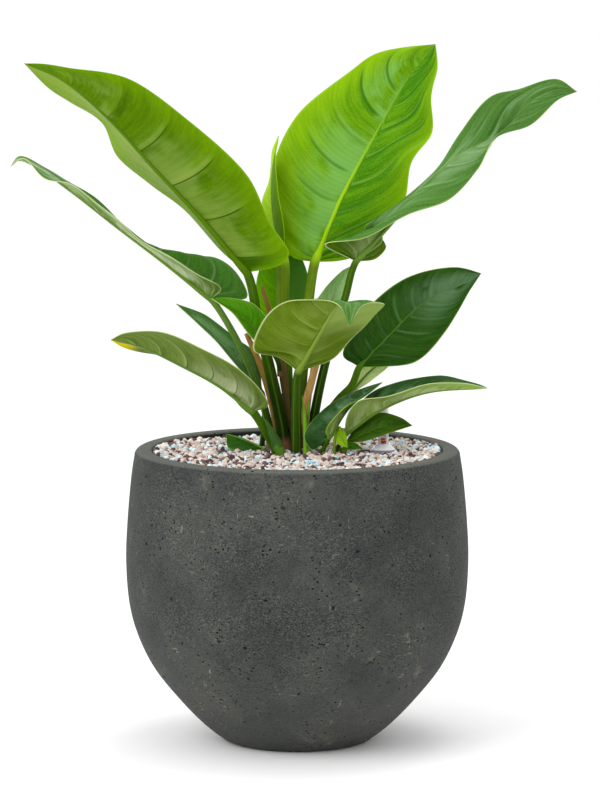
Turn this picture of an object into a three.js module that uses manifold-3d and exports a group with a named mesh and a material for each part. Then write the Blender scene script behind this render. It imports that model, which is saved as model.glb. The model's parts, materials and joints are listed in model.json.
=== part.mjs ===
import * as THREE from 'three';
import { mergeVertices } from 'three/addons/utils/BufferGeometryUtils.js';
import Module from 'manifold-3d';

// Potted imperial green philodendron, in millimetres, +Z up, front towards -Y.
// The origin is the middle of the pot's flat bottom.

const wasm = await Module();
wasm.setup();
const { Manifold, Mesh: SolidMesh } = wasm;

// Driving dimensions

const POT_HEIGHT = 300;
const POT_SIDES = 56;
const RIM_OUTER = 166;
const RIM_WALL = 18;
const RIM_ROUND = 6;
const LOW_WALL = 24;
const FLOOR_THICKNESS = 24;
const FOOT_RADIUS = 71;

const GRAVEL_LEVEL = 291.5;
const GRAVEL_EDGE_RISE = 7;
const GRAVEL_CROWN_RISE = 3;
const CROWN = new THREE.Vector2(0, 22);
const CROWN_SPREAD = 50;
const GRAVEL_RINGS = 9;
const GRAIN_RELIEF = 1.6;

const ROOT_DEPTH = 24;
const CLEARANCE = 0.45;

const BLADE_THICKNESS = 1.2;
const MIDRIB_THICKNESS = 2.6;
const MARGIN_THICKNESS = 0.8;
const BLADE_BULGE = 0.05;

const GAUGE = new THREE.Vector3(88, 15, 0);
const GAUGE_TOP = 344;
const GAUGE_BOTTOM = 250;

// Small helpers

const vec = ([x, y, z]) => new THREE.Vector3(x, y, z);
const mix = (a, b, t) => a + (b - a) * t;
const smooth = (points) => new THREE.CatmullRomCurve3(points, false, 'centripetal');

// A fixed scatter of values from 0 to 1, the same on every run.
function scatter(seed) {
  let state = seed;
  return () => {
    state = (state * 1664525 + 1013904223) % 4294967296;
    return state / 4294967296;
  };
}

function indexed(vertices, triangles) {
  const geometry = new THREE.BufferGeometry();
  const flat = vertices.flatMap((p) => [p.x, p.y, p.z]);
  geometry.setAttribute('position', new THREE.Float32BufferAttribute(flat, 3));
  geometry.setIndex(triangles.flat());
  return geometry;
}

function toSolid(geometry) {
  const bare = geometry.clone();
  bare.deleteAttribute('normal');
  bare.deleteAttribute('uv');
  const merged = mergeVertices(bare, 1e-4);
  return new Manifold(new SolidMesh({
    numProp: 3,
    vertProperties: Float32Array.from(merged.getAttribute('position').array),
    triVerts: Uint32Array.from(merged.index.array),
  }));
}

function fromSolid(solid) {
  const { vertProperties, triVerts } = solid.getMesh();
  const geometry = new THREE.BufferGeometry();
  geometry.setAttribute('position', new THREE.BufferAttribute(vertProperties.slice(), 3));
  geometry.setIndex(new THREE.BufferAttribute(triVerts.slice(), 1));
  return geometry;
}

function part(name, geometry, colour) {
  const material = new THREE.MeshStandardMaterial({ color: colour, flatShading: true });
  const mesh = new THREE.Mesh(geometry, material);
  mesh.name = name;
  return mesh;
}

// A solid of revolution about Z from a closed outline of [radius, height] pairs, bottom first.
function turned(outline, sides) {
  const points = outline.map(([r, z]) => new THREE.Vector2(r, z));
  return new THREE.LatheGeometry(points, sides).rotateX(Math.PI / 2);
}

// A round stem along a curve; radiusAt(t) gives its radius from foot (0) to end (1).
function stem(curve, steps, sides, radiusAt, grow = 0) {
  const frames = curve.computeFrenetFrames(steps, false);
  const vertices = [];
  const triangles = [];
  for (let i = 0; i <= steps; i += 1) {
    const t = i / steps;
    const centre = curve.getPointAt(t);
    if (i === 0) centre.addScaledVector(frames.tangents[0], -grow);
    const radius = radiusAt(t) + grow;
    for (let k = 0; k < sides; k += 1) {
      const angle = (2 * Math.PI * k) / sides;
      vertices.push(centre.clone()
        .addScaledVector(frames.normals[i], radius * Math.cos(angle))
        .addScaledVector(frames.binormals[i], radius * Math.sin(angle)));
    }
  }
  const foot = vertices.push(curve.getPointAt(0).addScaledVector(frames.tangents[0], -grow)) - 1;
  const end = vertices.push(curve.getPointAt(1)) - 1;
  for (let k = 0; k < sides; k += 1) {
    const next = (k + 1) % sides;
    for (let i = 0; i < steps; i += 1) {
      const [a, b] = [i * sides + k, i * sides + next];
      triangles.push([a, b, b + sides], [a, b + sides, a + sides]);
    }
    triangles.push([foot, next, k], [end, steps * sides + k, steps * sides + next]);
  }
  return indexed(vertices, triangles);
}

// Pot

// Outer radius by height: a ball shape cut off flat at the foot and drawn in a little at the rim.
const potSide = new THREE.SplineCurve([
  [FOOT_RADIUS + 6, 2], [97, 18], [121, 43], [147, 76], [163.5, 110],
  [172, 143], [175, 185], [173.4, 226], [169.5, 270], [RIM_OUTER, POT_HEIGHT - RIM_ROUND],
].map(([r, z]) => new THREE.Vector2(r, z)));

function potRadius(height) {
  let [low, high] = [0, 1];
  for (let step = 0; step < 24; step += 1) {
    const middle = (low + high) / 2;
    if (potSide.getPoint(middle).y < height) low = middle;
    else high = middle;
  }
  return potSide.getPoint(low).x;
}

function cavityRadius(height) {
  const wall = mix(LOW_WALL, RIM_WALL, height / POT_HEIGHT);
  return potRadius(Math.min(height, POT_HEIGHT - RIM_ROUND)) - wall;
}

const cavityHeights = [FLOOR_THICKNESS, 44, 70, 104, 145, 200, 288];

function pot() {
  const outside = potSide.getPoints(15).map((p) => [p.x, p.y]);
  const rimInner = RIM_OUTER - RIM_WALL;
  const outline = [
    [0, 0], [FOOT_RADIUS, 0], ...outside,
    [RIM_OUTER - RIM_ROUND * 0.35, POT_HEIGHT - RIM_ROUND * 0.35], [RIM_OUTER - RIM_ROUND, POT_HEIGHT],
    [rimInner + 3, POT_HEIGHT], [rimInner, POT_HEIGHT - 3],
    ...cavityHeights.map((z) => [cavityRadius(z), z]).reverse(), [0, FLOOR_THICKNESS],
  ];
  return turned(outline, POT_SIDES);
}

// Planting gravel

function gravelHeight(x, y) {
  const edge = Math.min(1, Math.abs(x) / (RIM_OUTER - RIM_WALL));
  const fromCrown = CROWN.distanceTo(new THREE.Vector2(x, y));
  return GRAVEL_LEVEL + GRAVEL_EDGE_RISE * edge ** 3
    + GRAVEL_CROWN_RISE * Math.exp(-((fromCrown / CROWN_SPREAD) ** 2));
}

// The filled inside of the pot, its top rough with grains.
function gravelBody() {
  const random = scatter(7);
  const walls = cavityHeights.map((z) => [cavityRadius(z) - CLEARANCE, z]);
  walls[0][1] += CLEARANCE;
  const vertices = [];
  const triangles = [];
  const ring = (radiusOf, heightOf) => {
    for (let k = 0; k < POT_SIDES; k += 1) {
      const angle = Math.PI / 2 - (2 * Math.PI * k) / POT_SIDES;
      const [x, y] = [radiusOf * Math.cos(angle), radiusOf * Math.sin(angle)];
      vertices.push(new THREE.Vector3(x, y, heightOf(x, y)));
    }
  };
  walls.forEach(([radius, z]) => ring(radius, () => z));
  const topRadius = RIM_OUTER - RIM_WALL - CLEARANCE;
  for (let i = 0; i < GRAVEL_RINGS; i += 1) {
    const radius = topRadius * (1 - i / GRAVEL_RINGS);
    ring(radius, (x, y) => gravelHeight(x, y) + GRAIN_RELIEF * (random() - 0.5) * (i ? 2 : 0.6));
  }
  const rings = walls.length + GRAVEL_RINGS;
  const bottom = vertices.push(new THREE.Vector3(0, 0, walls[0][1])) - 1;
  const top = vertices.push(new THREE.Vector3(0, 0, gravelHeight(0, 0))) - 1;
  for (let k = 0; k < POT_SIDES; k += 1) {
    const next = (k + 1) % POT_SIDES;
    for (let i = 0; i < rings - 1; i += 1) {
      const [a, b] = [i * POT_SIDES + k, i * POT_SIDES + next];
      triangles.push([a, b + POT_SIDES, b], [a, a + POT_SIDES, b + POT_SIDES]);
    }
    const last = (rings - 1) * POT_SIDES;
    triangles.push([bottom, k, next], [top, last + next, last + k]);
  }
  return indexed(vertices, triangles);
}

// Leaves

// Each leaf is drawn by its midrib and its left and right margins, from the stalk to the tip, left
// and right as seen on the upper face with the tip up. The stalk runs from the gravel to the blade.
const LEAVES = [
  {
    name: 'leaf_upper_left', rows: 16, columns: 3, colour: 0x6f9a2c,
    stalkWidth: [15, 9],
    stalk: [[-13, 20, 292], [-16, 20, 321], [-28, 12, 379], [-40, 6, 431], [-51, 0, 480]],
    mid: [[-51, 0, 480], [-94, -14, 534], [-142, -32, 587], [-187, -50, 638], [-234, -64, 679],
      [-271, -72, 696]],
    left: [[-51, 0, 480], [-17, -6, 489], [-8, -7, 500], [-28, -8, 531], [-50, -24, 581],
      [-105, -34, 633], [-167, -47, 679], [-226, -54, 690], [-252, -63, 695], [-271, -72, 696]],
    right: [[-51, 0, 480], [-79, 32, 500], [-115, 40, 541], [-150, 32, 567], [-182, 16, 597],
      [-196, 0, 631], [-227, -26, 654], [-249, -47, 671], [-271, -72, 696]],
  },
  {
    name: 'leaf_upper_centre', rows: 16, columns: 3, colour: 0x6cb31c,
    stalkWidth: [10, 10],
    stalk: [[3, 36, 290], [4, 34, 345], [7, 32, 387], [11, 28, 439], [18, 28, 488]],
    mid: [[18, 28, 488], [44, 46, 550], [77, 74, 609], [111, 104, 666], [143, 126, 705]],
    left: [[18, 28, 488], [-6, 31, 494], [-22, 44, 530], [-24, 56, 585], [1, 73, 636],
      [54, 95, 678], [83, 108, 697], [143, 126, 705]],
    right: [[18, 28, 488], [54, 35, 491], [85, 47, 512], [110, 58, 548], [117, 60, 587],
      [139, 85, 617], [138, 93, 653], [145, 113, 683], [143, 126, 705]],
  },
  {
    name: 'leaf_upper_right', rows: 20, columns: 3, colour: 0x3f7d43,
    stalkWidth: [11, 7],
    stalk: [[14, 28, 291], [16, 28, 320], [29, 26, 385], [49, 24, 452], [60, 24, 489]],
    mid: [[60, 24, 489], [84, 24, 515], [125, 36, 561], [166, 52, 596], [208, 68, 617],
      [249, 84, 654], [288, 90, 658]],
    left: [[60, 24, 489], [80, 34, 491], [91, 38, 503], [80, 40, 513], [69, 36, 522],
      [105, 42, 547], [141, 63, 578], [166, 72, 615], [198, 72, 654], [228, 85, 661],
      [267, 87, 671], [288, 90, 658]],
    right: [[60, 24, 489], [28, 12, 507], [66, 4, 515], [115, 13, 538], [156, 23, 554],
      [184, 40, 581], [203, 52, 613], [240, 70, 625], [268, 81, 650], [288, 90, 658]],
  },
  {
    name: 'leaf_unfurling', rows: 10, columns: 2, colour: 0x7c9a30,
    stalkWidth: [11, 14],
    stalk: [[-10, 40, 289], [-10, 40, 344], [-12, 38, 396], [-15, 34, 448], [-15, 32, 487]],
    mid: [[-15, 32, 487], [-25, 34, 536], [-26, 38, 577], [-19, 42, 616]],
    left: [[-15, 32, 487], [-35, 56, 527], [-36, 59, 547], [-28, 59, 570], [-25, 45, 602],
      [-19, 42, 616]],
    right: [[-15, 32, 487], [-13, 20, 517], [-20, 23, 563], [-22, 34, 597], [-19, 42, 616]],
  },
  {
    name: 'leaf_long_left', rows: 18, columns: 3, colour: 0x3d6f3c,
    stalkWidth: [10, 7],
    stalk: [[-27, 32, 291], [-28, 32, 314], [-41, 28, 362], [-67, 22, 419], [-88, 20, 451]],
    mid: [[-88, 20, 451], [-134, 10, 489], [-185, -2, 529], [-227, -14, 563], [-266, -23, 591],
      [-280, -24, 596], [-288, -24, 590]],
    left: [[-88, 20, 451], [-78, 6, 462], [-100, -14, 480], [-154, -20, 513], [-226, -28, 571],
      [-253, -31, 578], [-275, -27, 598], [-288, -24, 590]],
    right: [[-88, 20, 451], [-51, 39, 451], [-61, 45, 474], [-87, 42, 491], [-129, 32, 490],
      [-151, 26, 503], [-204, 5, 554], [-255, -15, 588], [-280, -23, 600], [-288, -24, 590]],
  },
  {
    name: 'leaf_front', rows: 16, columns: 3, colour: 0x5e8a45,
    stalkWidth: [13, 8],
    stalk: [[-1, 6, 294], [-1, 4, 323], [-1, -4, 350], [1, -18, 381]],
    mid: [[1, -18, 381], [21, -38, 419], [41, -66, 454], [52, -94, 457], [52, -108, 437]],
    left: [[1, -18, 381], [36, -7, 393], [56, -9, 414], [77, -43, 440], [87, -69, 456],
      [64, -96, 456], [52, -108, 437]],
    right: [[1, -18, 381], [-19, -18, 396], [-44, -33, 404], [-34, -47, 437], [-12, -56, 456],
      [23, -75, 460], [43, -99, 456], [52, -108, 437]],
  },
  {
    name: 'leaf_low_left', rows: 14, columns: 3, colour: 0x66894c,
    stalkWidth: [11, 9],
    stalk: [[-21, 2, 295], [-30, 4, 313], [-39, 4, 329], [-45, 4, 337]],
    mid: [[-45, 4, 337], [-79, -6, 365], [-119, -18, 388], [-159, -30, 408], [-188, -38, 416]],
    left: [[-45, 4, 337], [-30, -11, 345], [-43, -29, 371], [-88, -44, 404], [-138, -51, 425],
      [-173, -45, 424], [-188, -38, 416]],
    right: [[-45, 4, 337], [-38, 18, 345], [-84, 27, 378], [-135, 4, 394], [-176, -27, 407],
      [-188, -38, 416]],
  },
  {
    name: 'leaf_back_left', rows: 10, columns: 2, colour: 0x4f7a55,
    stalkWidth: [6, 5],
    stalk: [[-37, 46, 289], [-34, 44, 323], [-36, 42, 352]],
    mid: [[-36, 42, 352], [-71, 34, 399], [-99, 28, 425], [-124, 22, 446]],
    left: [[-36, 42, 352], [-57, 30, 375], [-83, 23, 407], [-124, 22, 446]],
    right: [[-36, 42, 352], [-42, 43, 391], [-64, 41, 409], [-94, 33, 433], [-124, 22, 446]],
  },
  {
    name: 'leaf_bright_left', rows: 10, columns: 2, colour: 0x4c9a1a, rootless: true,
    stalkWidth: [5, 5],
    stalk: [[-17.9, 14, 373], [-19, 8, 386], [-26, -4, 401]],
    mid: [[-26, -4, 401], [-58, -8, 438], [-87, -12, 455]],
    left: [[-26, -4, 401], [-44, -16, 413], [-66, -18, 441], [-87, -12, 455]],
    right: [[-26, -4, 401], [-25, -3, 421], [-43, -7, 448], [-68, -8, 455], [-87, -12, 455]],
  },
  {
    name: 'leaf_right', rows: 14, columns: 3, colour: 0x2f6b2a,
    stalkWidth: [9, 7],
    stalk: [[21, 42, 289], [25, 44, 318], [42, 46, 344], [56, 46, 359], [64, 46, 378]],
    mid: [[64, 46, 378], [90, 53, 405], [132, 65, 444], [190, 82, 471]],
    left: [[64, 46, 378], [47, 45, 390], [56, 46, 412], [80, 52, 446], [116, 61, 470],
      [163, 74, 478], [190, 82, 471]],
    right: [[64, 46, 378], [85, 39, 379], [122, 48, 383], [151, 58, 411], [178, 72, 454],
      [190, 82, 471]],
  },
  {
    name: 'leaf_curled_right', rows: 12, columns: 2, colour: 0x38704a,
    stalkWidth: [6, 5],
    stalk: [[23, 4, 292], [27, 0, 300], [32, -4, 311]],
    mid: [[32, -4, 311], [54, -4, 344], [87, 14, 366]],
    left: [[32, -4, 311], [15, -5, 299], [7, -5, 312], [18, 3, 331], [44, 11, 350],
      [74, 15, 362], [87, 14, 366]],
    right: [[32, -4, 311], [29, -16, 320], [44, -25, 342], [70, -6, 355], [87, 14, 366]],
  },
  {
    name: 'leaf_low_right', rows: 14, columns: 3, colour: 0x3a6e34,
    stalkWidth: [5, 5],
    stalk: [[37, 16, 290], [43, 10, 302], [49, 2, 314]],
    mid: [[49, 2, 314], [83, -8, 340], [130, -14, 359], [193, -16, 364]],
    left: [[49, 2, 314], [58, 19, 335], [81, 18, 358], [111, 12, 368], [142, 5, 374],
      [181, -9, 368], [193, -16, 364]],
    right: [[49, 2, 314], [50, -16, 333], [63, -28, 353], [92, -30, 357], [124, -29, 368],
      [165, -21, 370], [193, -16, 364]],
  },
  {
    name: 'leaf_small_right', rows: 8, columns: 2, colour: 0x4c7d1e,
    stalkWidth: [4, 4],
    stalk: [[48, 0, 290], [48.5, 0, 299], [49.5, 0, 306.5]],
    mid: [[49.5, 0, 306.5], [85, -5, 322], [117, -8, 324.5]],
    left: [[49.5, 0, 306.5], [59, 5, 319], [83, 1, 336], [105, -2, 332], [117, -8, 324.5]],
    right: [[49.5, 0, 306.5], [66, -8, 308], [99, -11, 319], [117, -8, 324.5]],
  },
  {
    name: 'leaf_tiny_right', rows: 6, columns: 1, colour: 0x86bc2c,
    stalkWidth: [3, 3],
    stalk: [[38.4, -6, 291.9], [38.2, -6, 309.4], [43.5, -2, 322.2]],
    mid: [[43.5, -2, 322.2], [44.5, -7, 314.7], [51.1, -10, 301.8]],
    left: [[43.5, -2, 322.2], [37.2, -5, 314.4], [41.5, -7.4, 305.5], [51.1, -10, 301.8]],
    right: [[43.5, -2, 322.2], [48.6, -9, 318.1], [50.6, -11.3, 309.1], [51.1, -10, 301.8]],
  },
  {
    name: 'leaf_tiny_flat', rows: 6, columns: 1, colour: 0x7fb23a,
    stalkWidth: [3, 3],
    stalk: [[42, 24, 289], [43, 23, 293], [46, 21, 297]],
    mid: [[46, 21, 297], [56, 22, 299.5], [67, 24, 296]],
    left: [[46, 21, 297], [52, 25, 302], [59, 25, 302], [67, 24, 296]],
    right: [[46, 21, 297], [54, 18, 296], [61, 20, 296.5], [67, 24, 296]],
  },
  {
    name: 'leaf_pale_right', rows: 8, columns: 2, colour: 0x7d9b5c,
    stalkWidth: [5, 5],
    stalk: [[26, 56, 287], [38, 56, 322], [54, 56, 348]],
    mid: [[54, 56, 348], [75, 62, 371], [101, 68, 391]],
    left: [[54, 56, 348], [76, 53, 363], [98, 63, 381], [101, 68, 391]],
    right: [[54, 56, 348], [63, 67, 370], [85, 70, 386], [101, 68, 391]],
  },
  {
    name: 'leaf_back_right', rows: 8, columns: 2, colour: 0x6a8f6c,
    stalkWidth: [5, 5],
    stalk: [[8, 52, 288], [12, 52, 343], [21, 54, 405]],
    mid: [[21, 54, 405], [36, 54, 448], [55, 54, 481]],
    left: [[21, 54, 405], [11, 57, 427], [25, 59, 453], [46, 56, 476], [55, 54, 481]],
    right: [[21, 54, 405], [44, 48, 421], [52, 48, 457], [55, 54, 481]],
  },
  {
    name: 'leaf_back_centre', rows: 10, columns: 2, colour: 0x3d7a22,
    stalkWidth: [5, 5],
    stalk: [[-18, 56, 287], [-13, 54, 353], [-11, 54, 415]],
    mid: [[-11, 54, 415], [-16, 58, 472], [-14, 62, 507]],
    left: [[-11, 54, 415], [-36, 49, 428], [-42, 50, 465], [-28, 57, 498], [-14, 62, 507]],
    right: [[-11, 54, 415], [11, 48, 428], [12, 51, 467], [0, 57, 497], [-14, 62, 507]],
  },
  {
    name: 'leaf_on_gravel', rows: 6, columns: 1, colour: 0x3f7d34,
    stalkWidth: [3, 3],
    stalk: [[-31, 20, 288.2], [-32, 20, 291.3], [-34.1, 22, 296]],
    mid: [[-34.1, 22, 296], [-52.6, 28, 304], [-73.3, 40, 309.2]],
    left: [[-34.1, 22, 296], [-56.8, 34.8, 306], [-73.3, 40, 309.2]],
    right: [[-34.1, 22, 296], [-53.4, 12.5, 295], [-69.9, 20.8, 297], [-73.3, 40, 309.2]],
  },
];

// The blade as a thin closed solid: rows run from the midrib out to both margins, and both faces are
// split into triangles alike.
function blade(leaf) {
  const { rows, columns } = leaf;
  const line = (key) => smooth(leaf[key].map(vec)).getSpacedPoints(rows);
  const [mid, left, right] = [line('mid'), line('left'), line('right')];
  const width = 2 * columns + 1;
  const grid = mid.map((centre, i) => {
    const across = right[i].clone().sub(left[i]);
    const along = mid[Math.min(i + 1, rows)].clone().sub(mid[Math.max(i - 1, 0)]);
    const up = across.clone().cross(along).normalize();
    return Array.from({ length: width }, (_, j) => {
      const share = Math.abs(j - columns) / columns;
      const edge = j < columns ? left[i] : right[i];
      const bulge = BLADE_BULGE * centre.distanceTo(edge) * 4 * share * (1 - share);
      return centre.clone().lerp(edge, share).addScaledVector(up, bulge);
    });
  });
  const upper = [];
  const lower = [];
  for (let i = 0; i <= rows; i += 1) {
    const columnsHere = i === 0 || i === rows ? [columns] : [...Array(width).keys()];
    columnsHere.forEach((j) => {
      const before = grid[Math.max(i - 1, 0)][j];
      const after = grid[Math.min(i + 1, rows)][j];
      const row = grid[Math.min(Math.max(i, 1), rows - 1)];
      const across = row[Math.min(j + 1, width - 1)].clone().sub(row[Math.max(j - 1, 0)]);
      const normal = across.cross(after.clone().sub(before)).normalize();
      const share = Math.abs(j - columns) / columns;
      const centreThickness = mix(MIDRIB_THICKNESS, MARGIN_THICKNESS, i / rows);
      const edgeThickness = share === 1 ? MARGIN_THICKNESS : BLADE_THICKNESS;
      const half = (share === 0 ? centreThickness : edgeThickness) / 2;
      upper.push(grid[i][j].clone().addScaledVector(normal, half));
      lower.push(grid[i][j].clone().addScaledVector(normal, -half));
    });
  }
  const at = (i, j) => {
    if (i === 0) return 0;
    return i === rows ? upper.length - 1 : 1 + (i - 1) * width + j;
  };
  const under = upper.length;
  const triangles = [];
  const face = (a, b, c) => {
    if (a === b || b === c || a === c) return;
    triangles.push([a, b, c], [under + a, under + c, under + b]);
  };
  const rim = (a, b) => triangles.push([a, under + a, under + b], [a, under + b, b]);
  for (let i = 0; i < rows; i += 1) {
    for (let j = 0; j < width - 1; j += 1) {
      const [a, b, c, d] = [at(i, j), at(i, j + 1), at(i + 1, j + 1), at(i + 1, j)];
      const leansRight = j < columns;
      face(a, b, leansRight ? d : c);
      face(leansRight ? b : a, c, d);
    }
    rim(at(i + 1, 0), at(i, 0));
    rim(at(i, width - 1), at(i + 1, width - 1));
  }
  return indexed([...upper, ...lower], triangles);
}

const STALK_IN_BLADE = 0.22;

// The stalk with its buried foot; it tapers out along the first stretch of the midrib.
function stalk(leaf, grow = 0) {
  const points = leaf.stalk.map(vec);
  if (!leaf.rootless) points.unshift(points[0].clone().setZ(points[0].z - ROOT_DEPTH));
  const jointIndex = points.length - 1;
  const rib = smooth(leaf.mid.map(vec));
  points.push(rib.getPointAt(STALK_IN_BLADE / 2), rib.getPointAt(STALK_IN_BLADE));
  const curve = smooth(points);
  const lengths = curve.getLengths(100 * (points.length - 1));
  const joint = lengths[100 * jointIndex] / lengths.at(-1);
  const [foot, top] = leaf.stalkWidth.map((w) => w / 2);
  const end = MARGIN_THICKNESS / 2;
  const radiusAt = (t) => (t < joint ? mix(foot, top, t / joint)
    : mix(top, end, (t - joint) / (1 - joint)));
  const [steps, sides] = leaf.rows > 12 ? [12, 8] : [8, 6];
  return stem(curve, steps, sides, radiusAt, grow);
}

function leafSolid(leaf) {
  return toSolid(blade(leaf)).add(toSolid(stalk(leaf)));
}

// Dry sheaths and young shoots

const SHEATHS = [
  {
    name: 'sheath_tan', colour: 0xb08a4a, width: [5, 7, 7, 5],
    path: [[-19, 29, 291], [-26, 28, 341], [-36, 28, 377], [-52, 26, 415]],
  },
  {
    name: 'sheath_brown', colour: 0x8f6436, width: [5, 9, 7, 2],
    path: [[-4, 26, 291], [-11, 28, 346], [-20, 24, 408], [-36, 18, 464]],
  },
  {
    name: 'sheath_pink', colour: 0xb98a5e, width: [4, 9, 8, 7],
    path: [[9, 21, 292], [9, 19, 342], [15, 19, 368], [21, 20, 390]],
  },
  {
    name: 'shoot_left', colour: 0x78b41e, width: [5, 5, 4, 1],
    path: [[8.5, -1, 293], [8.5, 0, 308], [8, 1, 323], [5, 2, 354]],
  },
  {
    name: 'shoot_right', colour: 0x7fba24, width: [3, 3.5, 3, 1],
    path: [[13, 10, 291], [12, 10, 304], [10, 10, 317], [12, 9, 347]],
  },
  {
    name: 'shoot_broad', colour: 0x5ca028, width: [9, 12, 8, 1.5],
    path: [[-17, -8, 295], [-20, -8, 303], [-25, -6, 315], [-33, -2, 331]],
  },
];

function sheath({ path, width }, grow = 0) {
  const points = path.map(vec);
  points.unshift(points[0].clone().setZ(points[0].z - ROOT_DEPTH));
  const widths = [width[0], ...width];
  const radiusAt = (t) => {
    const place = t * (widths.length - 1);
    const step = Math.min(Math.floor(place), widths.length - 2);
    return mix(widths[step], widths[step + 1], place - step) / 2;
  };
  return stem(smooth(points), 8, 6, radiusAt, grow);
}

// Water gauge

const TUBE_RADIUS = 5.3;
const TUBE_BORE = 3.7;
const COLLAR_RADIUS = 13.8;
const COLLAR_FOOT = 293;
const SKIRT_HEIGHT = 3;
const COLLAR_TOP = 303;
const FLOAT_BODY = 3.2;
const MARKER_RADIUS = 2.3;
const MARKER_MIDDLE = 306;

const atGauge = (outline, sides) => turned(outline, sides).translate(GAUGE.x, GAUGE.y, 0);

const gaugeTube = () => atGauge([
  [0, GAUGE_BOTTOM], [TUBE_RADIUS, GAUGE_BOTTOM], [TUBE_RADIUS, GAUGE_TOP - 1],
  [TUBE_RADIUS - 1, GAUGE_TOP], [TUBE_BORE, GAUGE_TOP], [TUBE_BORE, GAUGE_BOTTOM + 2],
  [0, GAUGE_BOTTOM + 2],
], 20);

const gaugeCollar = () => atGauge([
  [TUBE_RADIUS + 0.35, COLLAR_FOOT], [COLLAR_RADIUS, COLLAR_FOOT],
  [COLLAR_RADIUS, COLLAR_FOOT + SKIRT_HEIGHT], [COLLAR_RADIUS - 1, COLLAR_FOOT + SKIRT_HEIGHT + 1],
  [TUBE_RADIUS + 1.6, COLLAR_TOP], [TUBE_RADIUS + 0.35, COLLAR_TOP],
  [TUBE_RADIUS + 0.35, COLLAR_FOOT],
], 24);

// A thin rod with a float at its foot and a red marker at eye height.
const gaugeFloat = () => atGauge([
  [0, GAUGE_BOTTOM + 2.4], [FLOAT_BODY - 1, GAUGE_BOTTOM + 2.4], [FLOAT_BODY, GAUGE_BOTTOM + 4],
  [FLOAT_BODY, GAUGE_BOTTOM + 22], [0.8, GAUGE_BOTTOM + 26], [0.8, MARKER_MIDDLE - 2.4],
  [MARKER_RADIUS, MARKER_MIDDLE - 2.2], [MARKER_RADIUS, MARKER_MIDDLE + 2.2],
  [0.8, MARKER_MIDDLE + 2.4], [0, MARKER_MIDDLE + 3],
], 12);

// The whole

const holes = [
  ...LEAVES.filter((leaf) => !leaf.rootless).map((leaf) => toSolid(stalk(leaf, CLEARANCE))),
  ...SHEATHS.map((item) => toSolid(sheath(item, CLEARANCE))),
  toSolid(atGauge([
    [0, GAUGE_BOTTOM - CLEARANCE], [TUBE_RADIUS + CLEARANCE, GAUGE_BOTTOM - CLEARANCE],
    [TUBE_RADIUS + CLEARANCE, COLLAR_FOOT - CLEARANCE], [COLLAR_RADIUS + CLEARANCE, COLLAR_FOOT - CLEARANCE],
    [COLLAR_RADIUS + CLEARANCE, COLLAR_TOP], [0, COLLAR_TOP],
  ], 24)),
];
const gravel = holes.reduce((body, hole) => body.subtract(hole), toSolid(gravelBody()));

const plant = new THREE.Group();
plant.add(part('pot', fromSolid(toSolid(pot())), 0x4a4d4b));
plant.add(part('gravel', fromSolid(gravel), 0xcdbdae));
LEAVES.forEach((leaf) => plant.add(part(leaf.name, fromSolid(leafSolid(leaf)), leaf.colour)));
SHEATHS.forEach((item) => {
  plant.add(part(item.name, fromSolid(toSolid(sheath(item))), item.colour));
});
plant.add(part('gauge_tube', fromSolid(toSolid(gaugeTube())), 0xdcdce4));
plant.add(part('gauge_collar', fromSolid(toSolid(gaugeCollar())), 0xb9b6c4));
plant.add(part('gauge_float', fromSolid(toSolid(gaugeFloat())), 0xc03020));

export default plant;
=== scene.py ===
# %% [markdown]
# # A potted philodendron
# The finished plant stands on a pale floor in a white studio. The frame that is loaded first
# holds every piece as a plain solid at its real place: the pot, the gravel, each leaf on its
# stalk, the dry sheaths, the young shoots and the water gauge. The pieces made here take the
# place of those solids, in metres, and keep their form.

# %% Load the frame
import json
import math
import random
from contextlib import contextmanager
from itertools import product

import bpy
import numpy as np
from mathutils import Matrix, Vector

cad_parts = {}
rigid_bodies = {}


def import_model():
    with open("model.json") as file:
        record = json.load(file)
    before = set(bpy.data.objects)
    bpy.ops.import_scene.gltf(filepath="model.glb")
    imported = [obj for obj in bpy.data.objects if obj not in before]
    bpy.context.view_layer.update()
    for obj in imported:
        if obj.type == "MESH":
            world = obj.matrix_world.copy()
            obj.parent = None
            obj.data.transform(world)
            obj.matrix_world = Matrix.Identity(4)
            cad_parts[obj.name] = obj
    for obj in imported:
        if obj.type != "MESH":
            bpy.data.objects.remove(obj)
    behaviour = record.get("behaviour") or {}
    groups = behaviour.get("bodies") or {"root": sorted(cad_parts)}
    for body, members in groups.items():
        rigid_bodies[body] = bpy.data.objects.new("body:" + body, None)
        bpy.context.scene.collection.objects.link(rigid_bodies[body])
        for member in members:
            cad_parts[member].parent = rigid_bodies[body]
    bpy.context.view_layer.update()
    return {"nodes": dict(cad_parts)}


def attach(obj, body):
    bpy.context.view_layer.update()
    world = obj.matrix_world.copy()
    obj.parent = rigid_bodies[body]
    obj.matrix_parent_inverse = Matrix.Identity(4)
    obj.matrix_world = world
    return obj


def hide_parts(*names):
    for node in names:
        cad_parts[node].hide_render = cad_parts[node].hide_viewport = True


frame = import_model()
MM = 0.001

# %% [markdown]
# ## Camera and light
# A long lens from 4.5 m away, looking down a little, gives the flat, calm view of a catalogue
# picture. The studio is white all round, which makes the dark pot lighter at its two sides: a
# surface seen at a grazing angle mirrors more. One large soft lamp on the left gives the leaves
# their sheen and leaves the right side of the pot darker, and a weak one hangs above.

# %% Camera
scene = bpy.context.scene
CAMERA_PLACE = (0.0028, -4.5, 0.942)
CAMERA_TARGET = (0.0028, 0.0, 0.3497)
LENS_MM = 200.6
FARTHEST_SEEN = 50


def placed(name, data):
    piece = bpy.data.objects.new(name, data)
    scene.collection.objects.link(piece)
    return piece


def aimed(name, data, place, target):
    piece = placed(name, data)
    piece.location = place
    piece.rotation_euler = (Vector(target) - Vector(place)).to_track_quat("-Z", "Y").to_euler()
    return piece


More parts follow.
